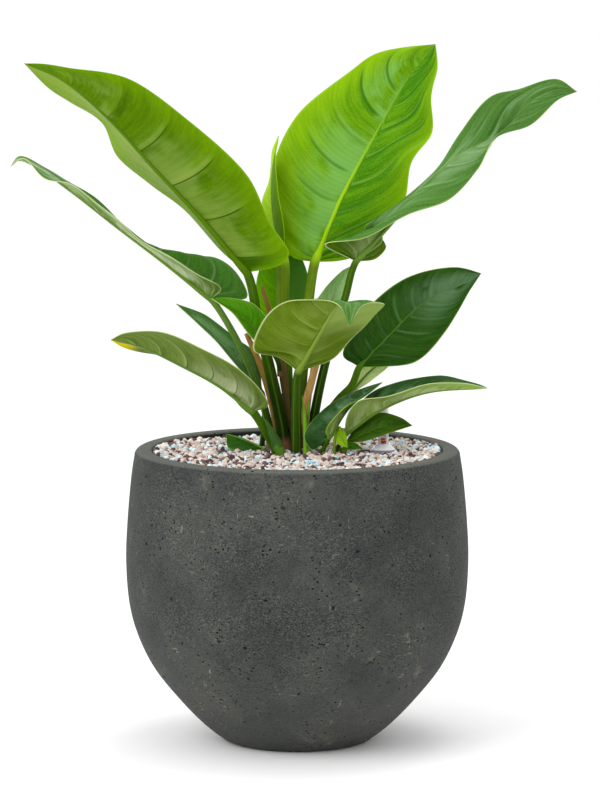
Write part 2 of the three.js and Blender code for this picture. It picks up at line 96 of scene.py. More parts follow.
camera_data = bpy.data.cameras.new("camera")
camera_data.lens = LENS_MM
camera_data.clip_end = FARTHEST_SEEN
scene.camera = aimed("camera", camera_data, CAMERA_PLACE, CAMERA_TARGET)

# %% Lamps and the white room
ROOM_LIGHT = 1.04
LAMP_TARGET = (0, 0, 0.4)
LAMPS = [
    ("key_lamp", (-1.9, -1.7, 1.9), 2.2, 42),
    ("top_lamp", (0.3, 0.4, 2.3), 1.2, 10),
]

room = bpy.data.worlds.new("room")
room.use_nodes = True
background = room.node_tree.nodes["Background"].inputs
background["Color"].default_value = (1, 1, 1, 1)
background["Strength"].default_value = ROOM_LIGHT
scene.world = room
scene.view_settings.view_transform = "Standard"

for name, place, size, power in LAMPS:
    lamp_data = bpy.data.lights.new(name, "AREA")
    lamp_data.shape = "DISK"
    lamp_data.size = size
    lamp_data.energy = power
    aimed(name, lamp_data, place, LAMP_TARGET)

# %% [markdown]
# ## Shader maths
# A finish is easier to read as a formula than as a web of nodes. `Term` wraps one output of a
# node, and the operators on it add Math nodes. `Finish` holds a material, and its `node`
# method makes any other node from its type, its settings and what goes into its sockets.

# %% Terms and finishes
class Term:
    """One number or colour inside a material, as the output of a node."""

    def __init__(self, finish, output):
        self.finish = finish
        self.output = output

    def math(self, operation, *values):
        inputs = dict(enumerate((self, *values)))
        return self.finish.node("ShaderNodeMath", {"operation": operation}, inputs)

    def __add__(self, other):
        return self.math("ADD", other)

    def __sub__(self, other):
        return self.math("SUBTRACT", other)

    def __mul__(self, other):
        return self.math("MULTIPLY", other)

    def __pow__(self, other):
        return self.math("POWER", other)

    def __rsub__(self, other):
        return self.math("MULTIPLY", -1) + other

    def __radd__(self, other):
        return self + other

    def __rmul__(self, other):
        return self * other

    def __abs__(self):
        return self.math("ABSOLUTE")

    def step(self, low, high):
        """0 below low, 1 above high and smooth between; high may be the smaller one."""
        settings = {"interpolation_type": "SMOOTHSTEP"}
        return self.finish.node("ShaderNodeMapRange", settings, {0: self, 1: low, 2: high})

    def line(self, half_width):
        """1 where the term is 0, falling to 0 at half_width on both sides."""
        return abs(self).step(half_width, 0)


class Finish:
    """A material on the Principled shader."""

    def __init__(self, name, **fixed):
        self.material = bpy.data.materials.new(name)
        self.material.use_nodes = True
        self.tree = self.material.node_tree
        self.shader = self.tree.nodes["Principled BSDF"]
        for socket, value in fixed.items():
            self.shader.inputs[socket.replace("_", " ")].default_value = value

    def put(self, socket, value):
        if isinstance(value, Term):
            self.tree.links.new(value.output, socket)
        else:
            socket.default_value = value

    def node(self, kind, settings=None, inputs=None, output=0):
        made = self.tree.nodes.new(kind)
        for key, value in (settings or {}).items():
            setattr(made, key, value)
        for key, value in (inputs or {}).items():
            self.put(made.inputs[key], value)
        return Term(self, made.outputs[output])

    def mix(self, share, first, second):
        """first where share is 0, second where it is 1; both are colours."""
        inputs = {0: share, 6: first, 7: second}
        return self.node("ShaderNodeMix", {"data_type": "RGBA"}, inputs, output=2)

    def coat(self, share, colour):
        """Lays a colour over the colour so far."""
        self.colour = self.mix(share, self.colour, colour)

    def place(self, stretch=(1, 1, 1)):
        """The point on the object, in metres, stretched along each axis."""
        point = self.node("ShaderNodeTexCoord", output=3)
        return self.node("ShaderNodeVectorMath", {"operation": "MULTIPLY"}, {0: point, 1: stretch})

    def parts(self, vector):
        """The x, y and z of a vector."""
        split = self.node("ShaderNodeSeparateXYZ", inputs={0: vector})
        return [Term(self, output) for output in split.output.node.outputs]

    def chart(self):
        """The two numbers of the piece's own UV map."""
        return self.parts(self.node("ShaderNodeUVMap"))[:2]

    def pair(self, along, across):
        return self.node("ShaderNodeCombineXYZ", inputs={0: along, 1: across})

    def noise(self, where, scale, detail=3.0, roughness=0.55):
        inputs = {"Vector": where, "Scale": scale, "Detail": detail, "Roughness": roughness}
        return self.node("ShaderNodeTexNoise", inputs=inputs)

    def weave(self, along, across, detail, roughness=0.55):
        """Noise that follows the piece."""
        return self.noise(self.pair(along, across), 1.0, detail, roughness)

    def cells(self, where, scale):
        """Distance to the nearest of many scattered points."""
        return self.node("ShaderNodeTexVoronoi", inputs={"Vector": where, "Scale": scale})

    def relief(self, height, depth_mm, strength=1.0):
        inputs = {"Height": height, "Distance": depth_mm * MM, "Strength": strength}
        self.put(self.shader.inputs["Normal"], self.node("ShaderNodeBump", inputs=inputs))

    def paint(self, colour, roughness=None):
        self.put(self.shader.inputs["Base Color"], colour)
        if roughness is not None:
            self.put(self.shader.inputs["Roughness"], roughness)


def tone(red, green, blue):
    """A colour from 0 to 255, as in a paint program, as the linear light that shaders use."""
    shares = [c / 255 for c in (red, green, blue)]
    light = [c / 12.92 if c <= 0.04045 else ((c + 0.055) / 1.055) ** 2.4 for c in shares]
    return (*light, 1)


def tones(colours):
    return [tone(*colour) for colour in colours]


# %% [markdown]
# ## Tools for shaping
# A few small helpers serve most pieces. `fresh` clears the selection before a primitive is
# added, since an operator works on all that is selected. `sheet_of` adds a grid and moves its
# points to where a formula wants them, like laying a woven mat over a form; the grid brings a
# UV map along, so that veins can follow the leaf. `spun` turns a drawn half outline round an
# upright axis, as on a lathe.

# %% Shaping helpers
SHEET_WELD = 0.02 * MM
SPIN_WELD = 0.01 * MM


def fresh():
    if bpy.context.object and bpy.context.object.mode != "OBJECT":
        bpy.ops.object.mode_set(mode="OBJECT")
    bpy.ops.object.select_all(action="DESELECT")


def select_only(piece):
    fresh()
    piece.select_set(True)
    bpy.context.view_layer.objects.active = piece


def apply_modifier(piece, kind, **settings):
    select_only(piece)
    bpy.ops.object.modifier_add(type=kind)
    modifier = piece.modifiers[-1]
    for key, value in settings.items():
        setattr(modifier, key, value)
    bpy.ops.object.modifier_apply(modifier=modifier.name)


@contextmanager
def editing():
    """Edit mode with the whole mesh selected."""
    bpy.ops.object.mode_set(mode="EDIT")
    bpy.ops.mesh.select_all(action="SELECT")
    yield
    bpy.ops.object.mode_set(mode="OBJECT")


def points_of(piece):
    flat = np.empty(len(piece.data.vertices) * 3)
    piece.data.vertices.foreach_get("co", flat)
    return flat.reshape(-1, 3)


def sheet_of(name, rows, columns, where):
    """A grid whose points are moved to where(along, across), both from 0 to 1."""
    fresh()
    bpy.ops.mesh.primitive_grid_add(x_subdivisions=rows, y_subdivisions=columns, size=1)
    piece = bpy.context.object
    piece.name = name
    flat = points_of(piece)
    moved = where(flat[:, 0] + 0.5, 0.5 - flat[:, 1])
    piece.data.vertices.foreach_set("co", moved.ravel())
    with editing():
        bpy.ops.mesh.remove_doubles(threshold=SHEET_WELD)
    return piece


def close_ends(piece):
    """Fills the open rims of a tube."""
    select_only(piece)
    with editing():
        bpy.ops.mesh.select_all(action="DESELECT")
        bpy.ops.mesh.select_non_manifold(extend=False)
        bpy.ops.mesh.fill_holes(sides=0)
        bpy.ops.mesh.select_all(action="SELECT")
        bpy.ops.mesh.normals_make_consistent(inside=False)


def spun(name, outline, steps, centre=(0, 0)):
    """Turns an outline of (radius, height) pairs in millimetres round an upright axis."""
    x, y = (c * MM for c in centre)
    corners = [(x + r * MM, y, z * MM) for r, z in outline]
    mesh = bpy.data.meshes.new(name)
    mesh.from_pydata(corners, [(i, i + 1) for i in range(len(corners) - 1)], [])
    piece = placed(name, mesh)
    select_only(piece)
    with editing():
        bpy.ops.mesh.spin(steps=steps, angle=2 * math.pi, center=(x, y, 0), axis=(0, 0, 1))
        bpy.ops.mesh.select_all(action="SELECT")
        bpy.ops.mesh.remove_doubles(threshold=SPIN_WELD)
        bpy.ops.mesh.normals_make_consistent(inside=False)
    return piece


def smooth_shading(piece, degrees=40):
    select_only(piece)
    bpy.ops.object.shade_smooth_by_angle(angle=math.radians(degrees))


def joined(name, pieces):
    fresh()
    for piece in pieces:
        piece.select_set(True)
    bpy.context.view_layer.objects.active = pieces[0]
    bpy.ops.object.join()
    pieces[0].name = name
    return pieces[0]


def finished(piece, finishes, slot, *nodes, body="planter"):
    """Gives a piece its finishes, its body and the solids that it stands for."""
    if finishes:
        piece.data.materials.clear()
        for finish in finishes:
            piece.data.materials.append(finish.material)
    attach(piece, body)
    if nodes:
        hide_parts(*nodes)
    return piece


def rounded(centre, radius, start, end, steps):
    """Points on an arc, as (radius, height) pairs; angles in degrees."""
    angles = [math.radians(start + (end - start) * i / steps) for i in range(steps + 1)]
    return [(centre[0] + radius * math.cos(a), centre[1] + radius * math.sin(a)) for a in angles]

# %% [markdown]
# ## The pot
# The real pot is cast in a dark mineral mix. Its wall is thick, its side is a ball cut off at
# the foot and drawn in at the rim, and air bubbles have left small pits in it. The side is
# drawn as a flowing half outline and spun, and the larger pits are cut out as real holes with
# small lumps; bump alone would leave the pits flat where the wall is seen from the side. Pin
# holes, rubbed streaks and clouds are too fine for the mesh and sit in the finish.

# %% The pot's half outline
POT_HEIGHT = 300
RIM_OUTER = 166
RIM_WALL = 18
RIM_ROUND = 6
RIM_INNER_ROUND = 3
LOW_WALL = 24
FLOOR_THICKNESS = 24
FOOT_RADIUS = 71
POT_STEPS = 224
SIDE_STEPS = 10
POT_SIDE = [
    (77, 2), (97, 18), (121, 43), (147, 76), (163.5, 110),
    (172, 143), (175, 185), (173.4, 226), (169.5, 270), (RIM_OUTER, POT_HEIGHT - RIM_ROUND),
]
INNER_HEIGHTS = (288, 270, 240, 200, 172, 145, 124, 104, 87, 70, 56, 44, 32, FLOOR_THICKNESS)


def bend(shares, start, end, leave, arrive):
    """Points on a curve that leaves its start and arrives at its end in given directions."""
    cube = 2 * start - 2 * end + leave + arrive
    square = -3 * start + 3 * end - 2 * leave - arrive
    return ((cube * shares + square) * shares + leave) * shares + start


def flowing(points, steps):
    """A smooth line through drawn points, with that many steps from each point to the next."""
    drawn = np.array(points, float)
    padded = np.vstack([drawn[:1], drawn, drawn[-1:]])
    shares = np.linspace(0, 1, steps, endpoint=False)[:, None]
    line = []
    for before, start, end, after in zip(padded, padded[1:], padded[2:], padded[3:]):
        line.append(bend(shares, start, end, (end - before) / 2, (after - start) / 2))
    return np.vstack([*line, drawn[-1:]])


pot_side = flowing(POT_SIDE, SIDE_STEPS)


def pot_radius(height):
    return float(np.interp(height, pot_side[:, 1], pot_side[:, 0]))


def cavity_radius(height):
    wall = LOW_WALL + (RIM_WALL - LOW_WALL) * height / POT_HEIGHT
    return pot_radius(min(height, POT_HEIGHT - RIM_ROUND)) - wall


rim_inner = RIM_OUTER - RIM_WALL
rim = rounded((RIM_OUTER - RIM_ROUND, POT_HEIGHT - RIM_ROUND), RIM_ROUND, 0, 90, 8)
inner_corner = (rim_inner + RIM_INNER_ROUND, POT_HEIGHT - RIM_INNER_ROUND)
rim += rounded(inner_corner, RIM_INNER_ROUND, 90, 180, 5)
inside = [(cavity_radius(z), z) for z in INNER_HEIGHTS]
outline = [(0, 0), (FOOT_RADIUS, 0)] + [tuple(p) for p in pot_side[:-1]] + rim + inside
outline.append((0, FLOOR_THICKNESS))

pot = spun("cast_pot", outline, POT_STEPS)
print("pot faces:", len(pot.data.polygons))

# %% Pits left by air bubbles
PIT_SEED = 11
PIT_COUNT = 360
PIT_SMALLEST, PIT_LARGEST = 0.7, 2.4
PIT_SKEW = 2.2
PIT_LOWEST, PIT_HIGHEST = 12, 286
PIT_BAND = (20, 285)
PIT_GROUPS = ((245, 20), (90, 40))
PIT_DEPTH_SHARE = 0.1
PIT_REACH = 1.3
PIT_GAP = 0.6
PIT_SCALES = ((0.7, 1.5), (0.7, 1.5), (0.5, 1.1))
PIT_TURNS = ((-0.5, 0.5), (-0.5, 0.5), (0, 3))
LUMP_SHAKE = (0.72, 1.15)

dice = random.Random(PIT_SEED)
pits = []
for _ in range(PIT_COUNT):
    # Pits gather in loose groups and most are small.
    height = dice.choice((dice.uniform(*PIT_BAND), *(dice.gauss(*g) for g in PIT_GROUPS)))
    height = min(max(height, PIT_LOWEST), PIT_HIGHEST)
    angle = dice.uniform(0, 2 * math.pi)
    size = PIT_SMALLEST + (PIT_LARGEST - PIT_SMALLEST) * dice.random() ** PIT_SKEW
    radius = pot_radius(height) - PIT_DEPTH_SHARE * size
    centre = Vector((radius * math.cos(angle), radius * math.sin(angle), height)) * MM
    if any((centre - other).length < (size + spread + PIT_GAP) * MM for other, spread in pits):
        continue
    fresh()
    bpy.ops.mesh.primitive_ico_sphere_add(subdivisions=2, radius=size * MM, location=centre)
    pit = bpy.context.object
    pit.scale = [dice.uniform(*limits) for limits in PIT_SCALES]
    pit.rotation_euler = [dice.uniform(*limits) for limits in PIT_TURNS]
    pits.append((centre, size * PIT_REACH))
lumps = [o for o in scene.objects if o.name.startswith("Icosphere")]
for seed, lump in enumerate(lumps):
    shake = np.random.default_rng(seed).uniform(*LUMP_SHAKE, len(lump.data.vertices))
    lump.data.vertices.foreach_set("co", (points_of(lump) * shake[:, None]).ravel())
cutter = joined("pit_cutter", lumps)
select_only(cutter)
bpy.ops.object.transform_apply(location=True, rotation=True, scale=True)
apply_modifier(pot, "BOOLEAN", object=cutter, operation="DIFFERENCE", solver="EXACT")
bpy.data.objects.remove(cutter)
smooth_shading(pot, 32)
print("pits:", len(lumps), "pot faces:", len(pot.data.polygons))

# %% [markdown]
# ### The cast finish
# Close up the casting is charcoal with four things on it: soft clouds where the release agent
# dried, a fine grain, short pale streaks and scratches that mostly run round the pot, and
# black pin holes. The top face of the rim is painted paler as a painted highlight, the lower
# body is painted paler as painted light against the shade it faces, and the inside of the wall
# between the gravel and the rim is painted near black as painted shade. All of it is noise read
# at the point on the object, flattened in height so that the streaks lie level.

# %% Cast finish
CHARCOAL = tone(40, 42, 42)
CHARCOAL_LIGHT = tone(81, 84, 80)
LOW_BODY_PAINTED_LIGHT = tone(80, 81, 76)
WARM_GREY = tone(82, 80, 70)
STREAK = tone(134, 131, 116)
PIN_HOLE = tone(8, 9, 8)
RIM_TOP_PAINTED_LIGHT = tone(104, 106, 99)


def cast_finish():
    cast = Finish("cast_charcoal", Specular_IOR_Level=0.12)
    everywhere = cast.place()
    x, y, height = cast.parts(everywhere)
    clouds = cast.noise(everywhere, 15, 6, 0.72).step(0.3, 0.72)
    patchy = cast.noise(everywhere, 22, 4, 0.6).step(0.4, 0.62)
    sand = cast.noise(cast.place((1, 1, 1.6)), 430, 3, 0.8) - 0.5
    dust = cast.noise(everywhere, 900, 2, 0.8) - 0.5
    shade = 0.2 + clouds * 0.36 + (sand * 2.9 + dust * 2.2) * (0.6 + patchy * 0.6)
    cast.colour = cast.mix(shade.math("MAXIMUM", -0.4), CHARCOAL, CHARCOAL_LIGHT)
    warm = cast.noise(everywhere, 15, 3, 0.6).step(0.45, 0.65)
    cast.coat(warm * 0.15, WARM_GREY)
    # Painted light: the lower body, which faces down into shade, is painted paler towards the
    # bottom.
    cast.coat(height.step(0.13, 0.02) * (0.3 + clouds * 0.4), LOW_BODY_PAINTED_LIGHT)

    streaks = cast.noise(cast.place((1, 1, 3.2)), 190, 4, 0.75).step(0.57, 0.7)
    scratches = cast.noise(cast.place((0.35, 0.35, 2.4)), 150, 2, 0.6).step(0.66, 0.71)
    slanted = cast.noise(cast.place((2.4, 1, 0.5)), 120, 2, 0.6).step(0.67, 0.72)
    few = cast.noise(everywhere, 16, 2).step(0.54, 0.64)
    rubbed = streaks * patchy * 0.5 + (scratches + slanted) * few * 0.6
    cast.coat(rubbed.math("MINIMUM", 0.8), STREAK)
    worn = cast.noise(everywhere, 30, 3, 0.7).step(0.62, 0.74)
    cast.coat(worn * (0.2 + dust * 1.2), STREAK)
    # Painted highlight: the top face of the rim is painted paler, where the light falls on it.
    rim_top_painted_light = height.step(0.2968, 0.2992) * (0.6 + streaks * 0.3)
    cast.coat(rim_top_painted_light, RIM_TOP_PAINTED_LIGHT)
    flecks = cast.cells(everywhere, 300).step(0.12, 0.05) * patchy
    cast.coat(flecks * 0.6, tone(160, 160, 152))

    groups = cast.noise(everywhere, 30, 3, 0.6).step(0.5, 0.6)
    pins = cast.cells(cast.place((1, 1, 1.4)), 150).step(0.22, 0.15) * groups
    fine_groups = cast.noise(cast.place((1, 1, 0.8)), 40, 3).step(0.49, 0.58)
    fine_pins = cast.cells(cast.place((1, 1, 1.3)), 250).step(0.2, 0.13) * fine_groups
    holes = (pins + fine_pins).math("MINIMUM", 1)
    cast.coat(holes, PIN_HOLE)
    length = {"operation": "LENGTH"}
    out = cast.node("ShaderNodeVectorMath", length, {0: cast.pair(x, y)}, output=1)
    inner = out.step((rim_inner + 0.8) * MM, (rim_inner - 0.2) * MM)
    # Painted shade: the inside of the wall between the gravel and the rim's top is painted near
    # black, where the rim and the leaves shade it.
    inner_wall_painted_shade = inner * height.step(0.2985, 0.2965) * height.step(0.28, 0.282)
    cast.coat(inner_wall_painted_shade * (0.75 + clouds * 0.2), tone(24, 20, 20))
    cast.paint(cast.colour, 0.66 + clouds * 0.1 - rubbed * 0.06)
    cast.relief(sand * 0.5 + dust * 0.3 + rubbed * 0.15 - holes, 0.9, 0.9)
    return cast


finished(pot, [cast_finish()], "pot", "pot")

# %% [markdown]
# ## The gravel
# The pot is topped with broken mineral grains of three kinds: cream, pale blue and dark
# brown, mostly 3 to 8 mm across. A few grains are modelled as a ball that is cut flat at
# random places, as broken stone is, and copies of them are laid in two layers with no two
# alike in size and turn. The packed gravel solid stays below them as a dark fill between
# the grains, its darkness painted shade in the gaps.

# %% Where the gravel lies
GRAVEL_LEVEL = 291.5
GRAVEL_EDGE_RISE = 7
GRAVEL_CROWN_RISE = 3
CROWN = (0, 22)
CROWN_SPREAD = 50


def gravel_height(x, y):
    edge = min(1, abs(x) / rim_inner)
    from_crown = math.hypot(x - CROWN[0], y - CROWN[1])
    crown = GRAVEL_CROWN_RISE * math.exp(-((from_crown / CROWN_SPREAD) ** 2))
    return GRAVEL_LEVEL + GRAVEL_EDGE_RISE * edge**3 + crown


# %% A few broken grains
GRAIN_KINDS = 9
GRAIN_CUTS = 5
GRAIN_BALL = 1.14
GRAIN_WELD = 0.22
CUT_DEPTH = (0.55, 0.85)


def broken_grain(seed):
    """The points and triangles of one grain of radius 1."""
    dice = random.Random(seed)
    fresh()
    bpy.ops.mesh.primitive_ico_sphere_add(subdivisions=1, radius=GRAIN_BALL)
    grain = bpy.context.object
    with editing():
        for _ in range(GRAIN_CUTS):
            facing = Vector([dice.gauss(0, 1) for _ in range(3)]).normalized()
            bpy.ops.mesh.select_all(action="SELECT")
            bpy.ops.mesh.bisect(
                plane_co=facing * dice.uniform(*CUT_DEPTH), plane_no=facing,
                use_fill=True, clear_outer=True,
            )
        bpy.ops.mesh.select_all(action="SELECT")
        bpy.ops.mesh.remove_doubles(threshold=GRAIN_WELD)
        bpy.ops.mesh.quads_convert_to_tris()
    points = points_of(grain)
    sides = np.array([tuple(p.vertices) for p in grain.data.polygons if len(p.vertices) == 3])
    bpy.data.objects.remove(grain)
    return points, sides


grains = [broken_grain(seed) for seed in range(GRAIN_KINDS)]
print("sides on a grain:", [len(sides) for _, sides in grains])

# %% Lay the grains
GRAIN_SPACING = 5.3
GRAIN_SEED = 5
LAYER_DEPTHS = (0.2, -3.4)
ROW_PITCH = 0.866
GRAIN_REACH = rim_inner - 2.2
GRAIN_SHAKE = 1.2
GRAIN_SIZE, SIZE_SPREAD = 2.95, 0.6
GRAIN_SMALLEST, GRAIN_LARGEST = 1.8, 4.2
BROWN_SHARE = 0.85
GRAIN_LIFT = (-1.5, 1.4)
RIM_GAP = 0.6
SIZE_AT_RIM, SIZE_AT_STEM = 0.8, 0.6
SQUASH = (0.82, 1.15)
GRAIN_SHARES = {"cream": 0.46, "brown": 0.35, "blue": 0.19}


def laid_grains(blocked):
    """Lists (kind, centre, size, seed) for grains on the whole surface but for blocked discs."""
    dice = random.Random(GRAIN_SEED)
    laid = []
    rows = int(2 * GRAIN_REACH / (GRAIN_SPACING * ROW_PITCH)) + 1
    columns = int(2 * GRAIN_REACH / GRAIN_SPACING) + 1
    for depth, row, column in product(LAYER_DEPTHS, range(rows), range(columns)):
        x = -GRAIN_REACH + (column + 0.5 * (row % 2)) * GRAIN_SPACING
        x += dice.uniform(-GRAIN_SHAKE, GRAIN_SHAKE)
        y = -GRAIN_REACH + row * GRAIN_SPACING * ROW_PITCH + dice.uniform(-GRAIN_SHAKE, GRAIN_SHAKE)
        kind = dice.choices(list(GRAIN_SHARES), GRAIN_SHARES.values())[0]
        size = min(max(dice.gauss(GRAIN_SIZE, SIZE_SPREAD), GRAIN_SMALLEST), GRAIN_LARGEST)
        if kind == "brown":
            size *= BROWN_SHARE
        lift = dice.uniform(*GRAIN_LIFT)
        if math.hypot(x, y) + size * SIZE_AT_RIM > rim_inner - RIM_GAP:
            continue
        if any(math.hypot(x - cx, y - cy) < r + size * SIZE_AT_STEM for cx, cy, r in blocked):
            continue
        laid.append((kind, (x, y, gravel_height(x, y) + depth + lift), size, len(laid)))
    return laid


def grain_piece(kind, laid):
    corners, sides, tints = [], [], []
    count = 0
    for _, centre, size, seed in laid:
        draw = np.random.default_rng(seed)
        points, faces = grains[seed % GRAIN_KINDS]
        turn = Vector(draw.normal(size=3)).to_track_quat("Z", "Y").to_matrix()
        squash = draw.uniform(*SQUASH, 3)
        corners.append(((points * squash) @ np.array(turn)) * size + centre)
        sides.append(faces + count)
        tints.append(np.full(len(points), draw.random()))
        count += len(points)
    mesh = bpy.data.meshes.new("grains_" + kind)
    mesh.from_pydata(np.vstack(corners) * MM, [], np.vstack(sides).tolist())
    tint = mesh.attributes.new("tint", "FLOAT", "POINT")
    tint.data.foreach_set("value", np.concatenate(tints).astype(np.float32))
    return placed("grains_" + kind, mesh)


# %% Grain finishes
GRAIN_TONES = {
    "cream": ((192, 170, 158), (244, 232, 222), (156, 130, 120)),
    "brown": ((58, 42, 46), (138, 106, 104), (34, 26, 28)),
    "blue": ((178, 212, 226), (238, 249, 252), (146, 172, 186)),
}


def grain_finish(kind):
    dull, pale, speck = tones(GRAIN_TONES[kind])
    stone = Finish("grain_" + kind, Roughness=0.8, Specular_IOR_Level=0.3)
    tint = stone.node("ShaderNodeAttribute", {"attribute_name": "tint"}, output=2)
    mottle = stone.noise(stone.place(), 700, 3, 0.6)
    stone.colour = stone.mix(tint * 0.9 + (mottle - 0.5) * 0.5, dull, pale)
    stone.coat(stone.noise(stone.place(), 1400, 2).step(0.6, 0.72) * 0.6, speck)
    stone.paint(stone.colour)
    stone.relief(mottle, 0.4, 0.6)
    return stone


def gap_shade_finish():
    # Painted shade: the fill is dark, standing in for the shade in the gaps between the grains.
    fill = Finish("gravel_fill", Roughness=0.95, Specular_IOR_Level=0.2)
    lumps = fill.noise(fill.place(), 320, 3, 0.6)
    fill.colour = fill.mix(lumps.step(0.35, 0.65), tone(34, 26, 26), tone(112, 92, 84))
    fill.paint(fill.colour)
    fill.relief(lumps, 1.2, 0.8)
    return fill


gravel = frame["nodes"]["gravel"]
gravel.data.materials.clear()
gravel.data.materials.append(gap_shade_finish().material)

# %% [markdown]
# ## Leaf finishes
# A leaf has two faces: the upper one is deeper and a little glossy, the lower one paler and
# more matt, and the margin is a thin pale line. The leaf is dimpled along its side veins like
# overlapping shingles. The finish paints each vein a lighter side towards the tip and a darker
# side towards the stalk, as painted light and shade of the dimples, and fine fibres run along
# with it. Patches of sheen, a pale line beside each vein and a lighter strip in from the margin
# are painted highlights. The broad creases and the fold at the base are painted shade, and on
# some leaves the right half gets a colour of its own as painted light and shade. The finish
# reads the piece's own UV map, along the leaf and across it, and an attribute named vein that
# counts the side veins, so that all of this follows the leaf wherever it bends.

# %% One face of a leaf
def leaf_face(
    name, deep, light, sheen, line, rib, margin, *,
    fine=0.2, crease=0.0, shingle_bump_and_painted_light=0.1, bloom=0.2, cover=0.0, bloom_along=(-1, 0), one_sided=0.0,
    lit_rim=0.0, rim_along=(-1, 0), rib_wide=0.03, ribbed=0.15, glint=0.25, thin_wide=0.035,
    vein_fade=(2, 1), patch=0.5, roughness=0.48, specular=0.08, tip=None, tip_half=0,
    tip_from=(0.8, 0.9), right_half_painted_light=None, base_shade=0.0,
):
    """fine is the strength of the thin vein lines and crease that of the
    broad ones, which sink into the bump and darken the colour as painted shade in the creases.
    shingle_bump_and_painted_light is the strength of the steps between veins, in the bump and as
    painted light and shade on either side of each vein, and bloom that of the painted
    sheen. cover widens the sheen, bloom_along says from where to where along the leaf it grows,
    and one_sided keeps it to the left half (1) or to the right half (-1), and paints
    the right half darker (1) or lighter (-1) as painted shade and light. lit_rim lets the
    margin's colour run in as a painted highlight, from where to where rim_along says. ribbed is
    the strength of the small veins between the side veins, glint that of the painted highlight
    beside each one, and thin_wide its width. The veins fade where vein_fade says. patch is the
    strength of the clouds, tip another colour of the tip from where tip_from says, kept to the
    left (1) or right half (-1) by tip_half, and right_half_painted_light another colour for the
    right half, as painted light and shade. base_shade darkens the folded part at the leaf's base
    as painted shade."""
    face = Finish(name, Specular_IOR_Level=specular)
    along, across = face.chart()
    share = abs(across * 2 - 1)
    right_half = across.step(0.52, 0.48)
    count = face.node("ShaderNodeAttribute", {"attribute_name": "vein"}, output=2)
    phase = count.math("FRACT")
    to_vein = 0.5 - abs(phase - 0.5)
    whole = (count + 0.5).math("FLOOR")
    own = face.weave(whole * 3.7, right_half * 5, 0).step(0.35, 0.65)
    streak = face.weave(count * 4, share * 0.9, 3, 0.6)
    fibre = face.weave(count * 14, share * 3, 4, 0.7)
    cloud = face.weave(count * 0.8, share * 1.6 + right_half * 4, 2, 0.5)
    speck = face.noise(face.place(), 620, 3, 0.7)

    reach = share.step(0.6 + own * 0.35, 0.4 + own * 0.3)
    reach = reach * along.step(*vein_fade)
    thin = to_vein.step(thin_wide, 0.002) * reach
    broad = to_vein.step(0.1, 0.0) * own * reach * share.step(0.0, 0.2)
    between = abs((count * 7).math("FRACT") - 0.5).step(0.3, 0.5)
    between = between * (0.4 + streak * 0.6)
    after_vein = phase.step(0.5, 0.02)
    before_vein = phase.step(0.6, 0.98)

    shade = 0.5 + (streak - 0.5) * 0.9 + (fibre - 0.5) * 1.1 + (speck - 0.5) * 0.9
    # Painted light and shade: the fold at the base darker, each vein's step lighter towards the tip
    # and darker towards the stalk, and on some leaves the right half darker.
    shade = shade + (cloud - 0.5) * patch - along.step(0.12, 0.06) * base_shade
    shade = shade + (after_vein - before_vein) * shingle_bump_and_painted_light * 0.5 - right_half * one_sided * 0.35
    face.colour = face.mix(shade.math("MAXIMUM", 0).math("MINIMUM", 1), deep, light)
    # Painted sheen: pale patches of reflection along the veins.
    pale = (cloud + (fibre - 0.5) * 0.15).step(0.42 - cover, 0.6 - cover)
    pale = pale * (0.35 + streak * 1.0)
    pale = (pale + after_vein * shingle_bump_and_painted_light * 0.5) * share.step(0.85, 0.2)
    # The painted sheen is kept to one half on some leaves.
    kept = 1 - right_half * one_sided if one_sided >= 0 else 1 + (1 - right_half) * one_sided
    pale = pale * kept
    pale = pale * along.step(*bloom_along)
    if base_shade:
        pale = pale * along.step(0.06, 0.12)
    face.coat((pale * bloom).math("MINIMUM", 1), sheen)
    # Painted light and shade: the right half gets a colour of its own, lighter on some leaves and
    # darker on others, as the light falls on it.
    if right_half_painted_light:
        darker = face.mix((fibre - 0.5) * 0.6 + 0.8, deep, tone(*right_half_painted_light))
        face.coat(right_half * 0.95, darker)
    # Painted highlight: the margin's colour runs in from the edge.
    inward = share**2 * share.step(0.4, 0.9) * along.step(*rim_along)
    face.coat(inward * (0.6 + fibre * 0.8) * lit_rim, margin)
    face.coat(between * ribbed, line)
    # Painted highlight: a pale line of sheen beside each vein.
    beside = (phase - thin_wide - 0.05).line(0.09) * reach * (streak * 3 - 0.9).step(0, 1)
    face.coat(beside * glint, sheen)
    # Vein lines, with the broad creases darkened as painted shade.
    face.coat((thin * fine + broad * crease).math("MINIMUM", 1), line)
    on_rib = (share - rib_wide * (1.12 - along)).step(0.012, -0.004)
    face.coat(on_rib * along.step(1.0, 0.5), rib)
    face.coat(share.step(0.965, 0.985) * 0.75, margin)
    if tip:
        half = right_half if tip_half < 0 else 1 - right_half
        face.coat(along.step(*tip_from) * half, tone(*tip))
    face.coat(along.step(0.985, 1.0), tone(150, 120, 60))
    face.paint(face.colour, roughness + (streak - 0.5) * 0.15 - (pale * bloom) * 0.1)
    groove = (thin * fine + broad * crease) * -0.5 + (after_vein - before_vein) * shingle_bump_and_painted_light * 0.25
    face.relief(groove + streak * 0.4 + fibre * 0.35, 0.5, 0.6)
    return face


def margin_finish(name, colour):
    return Finish(name, Base_Color=colour, Roughness=0.5, Specular_IOR_Level=0.15)


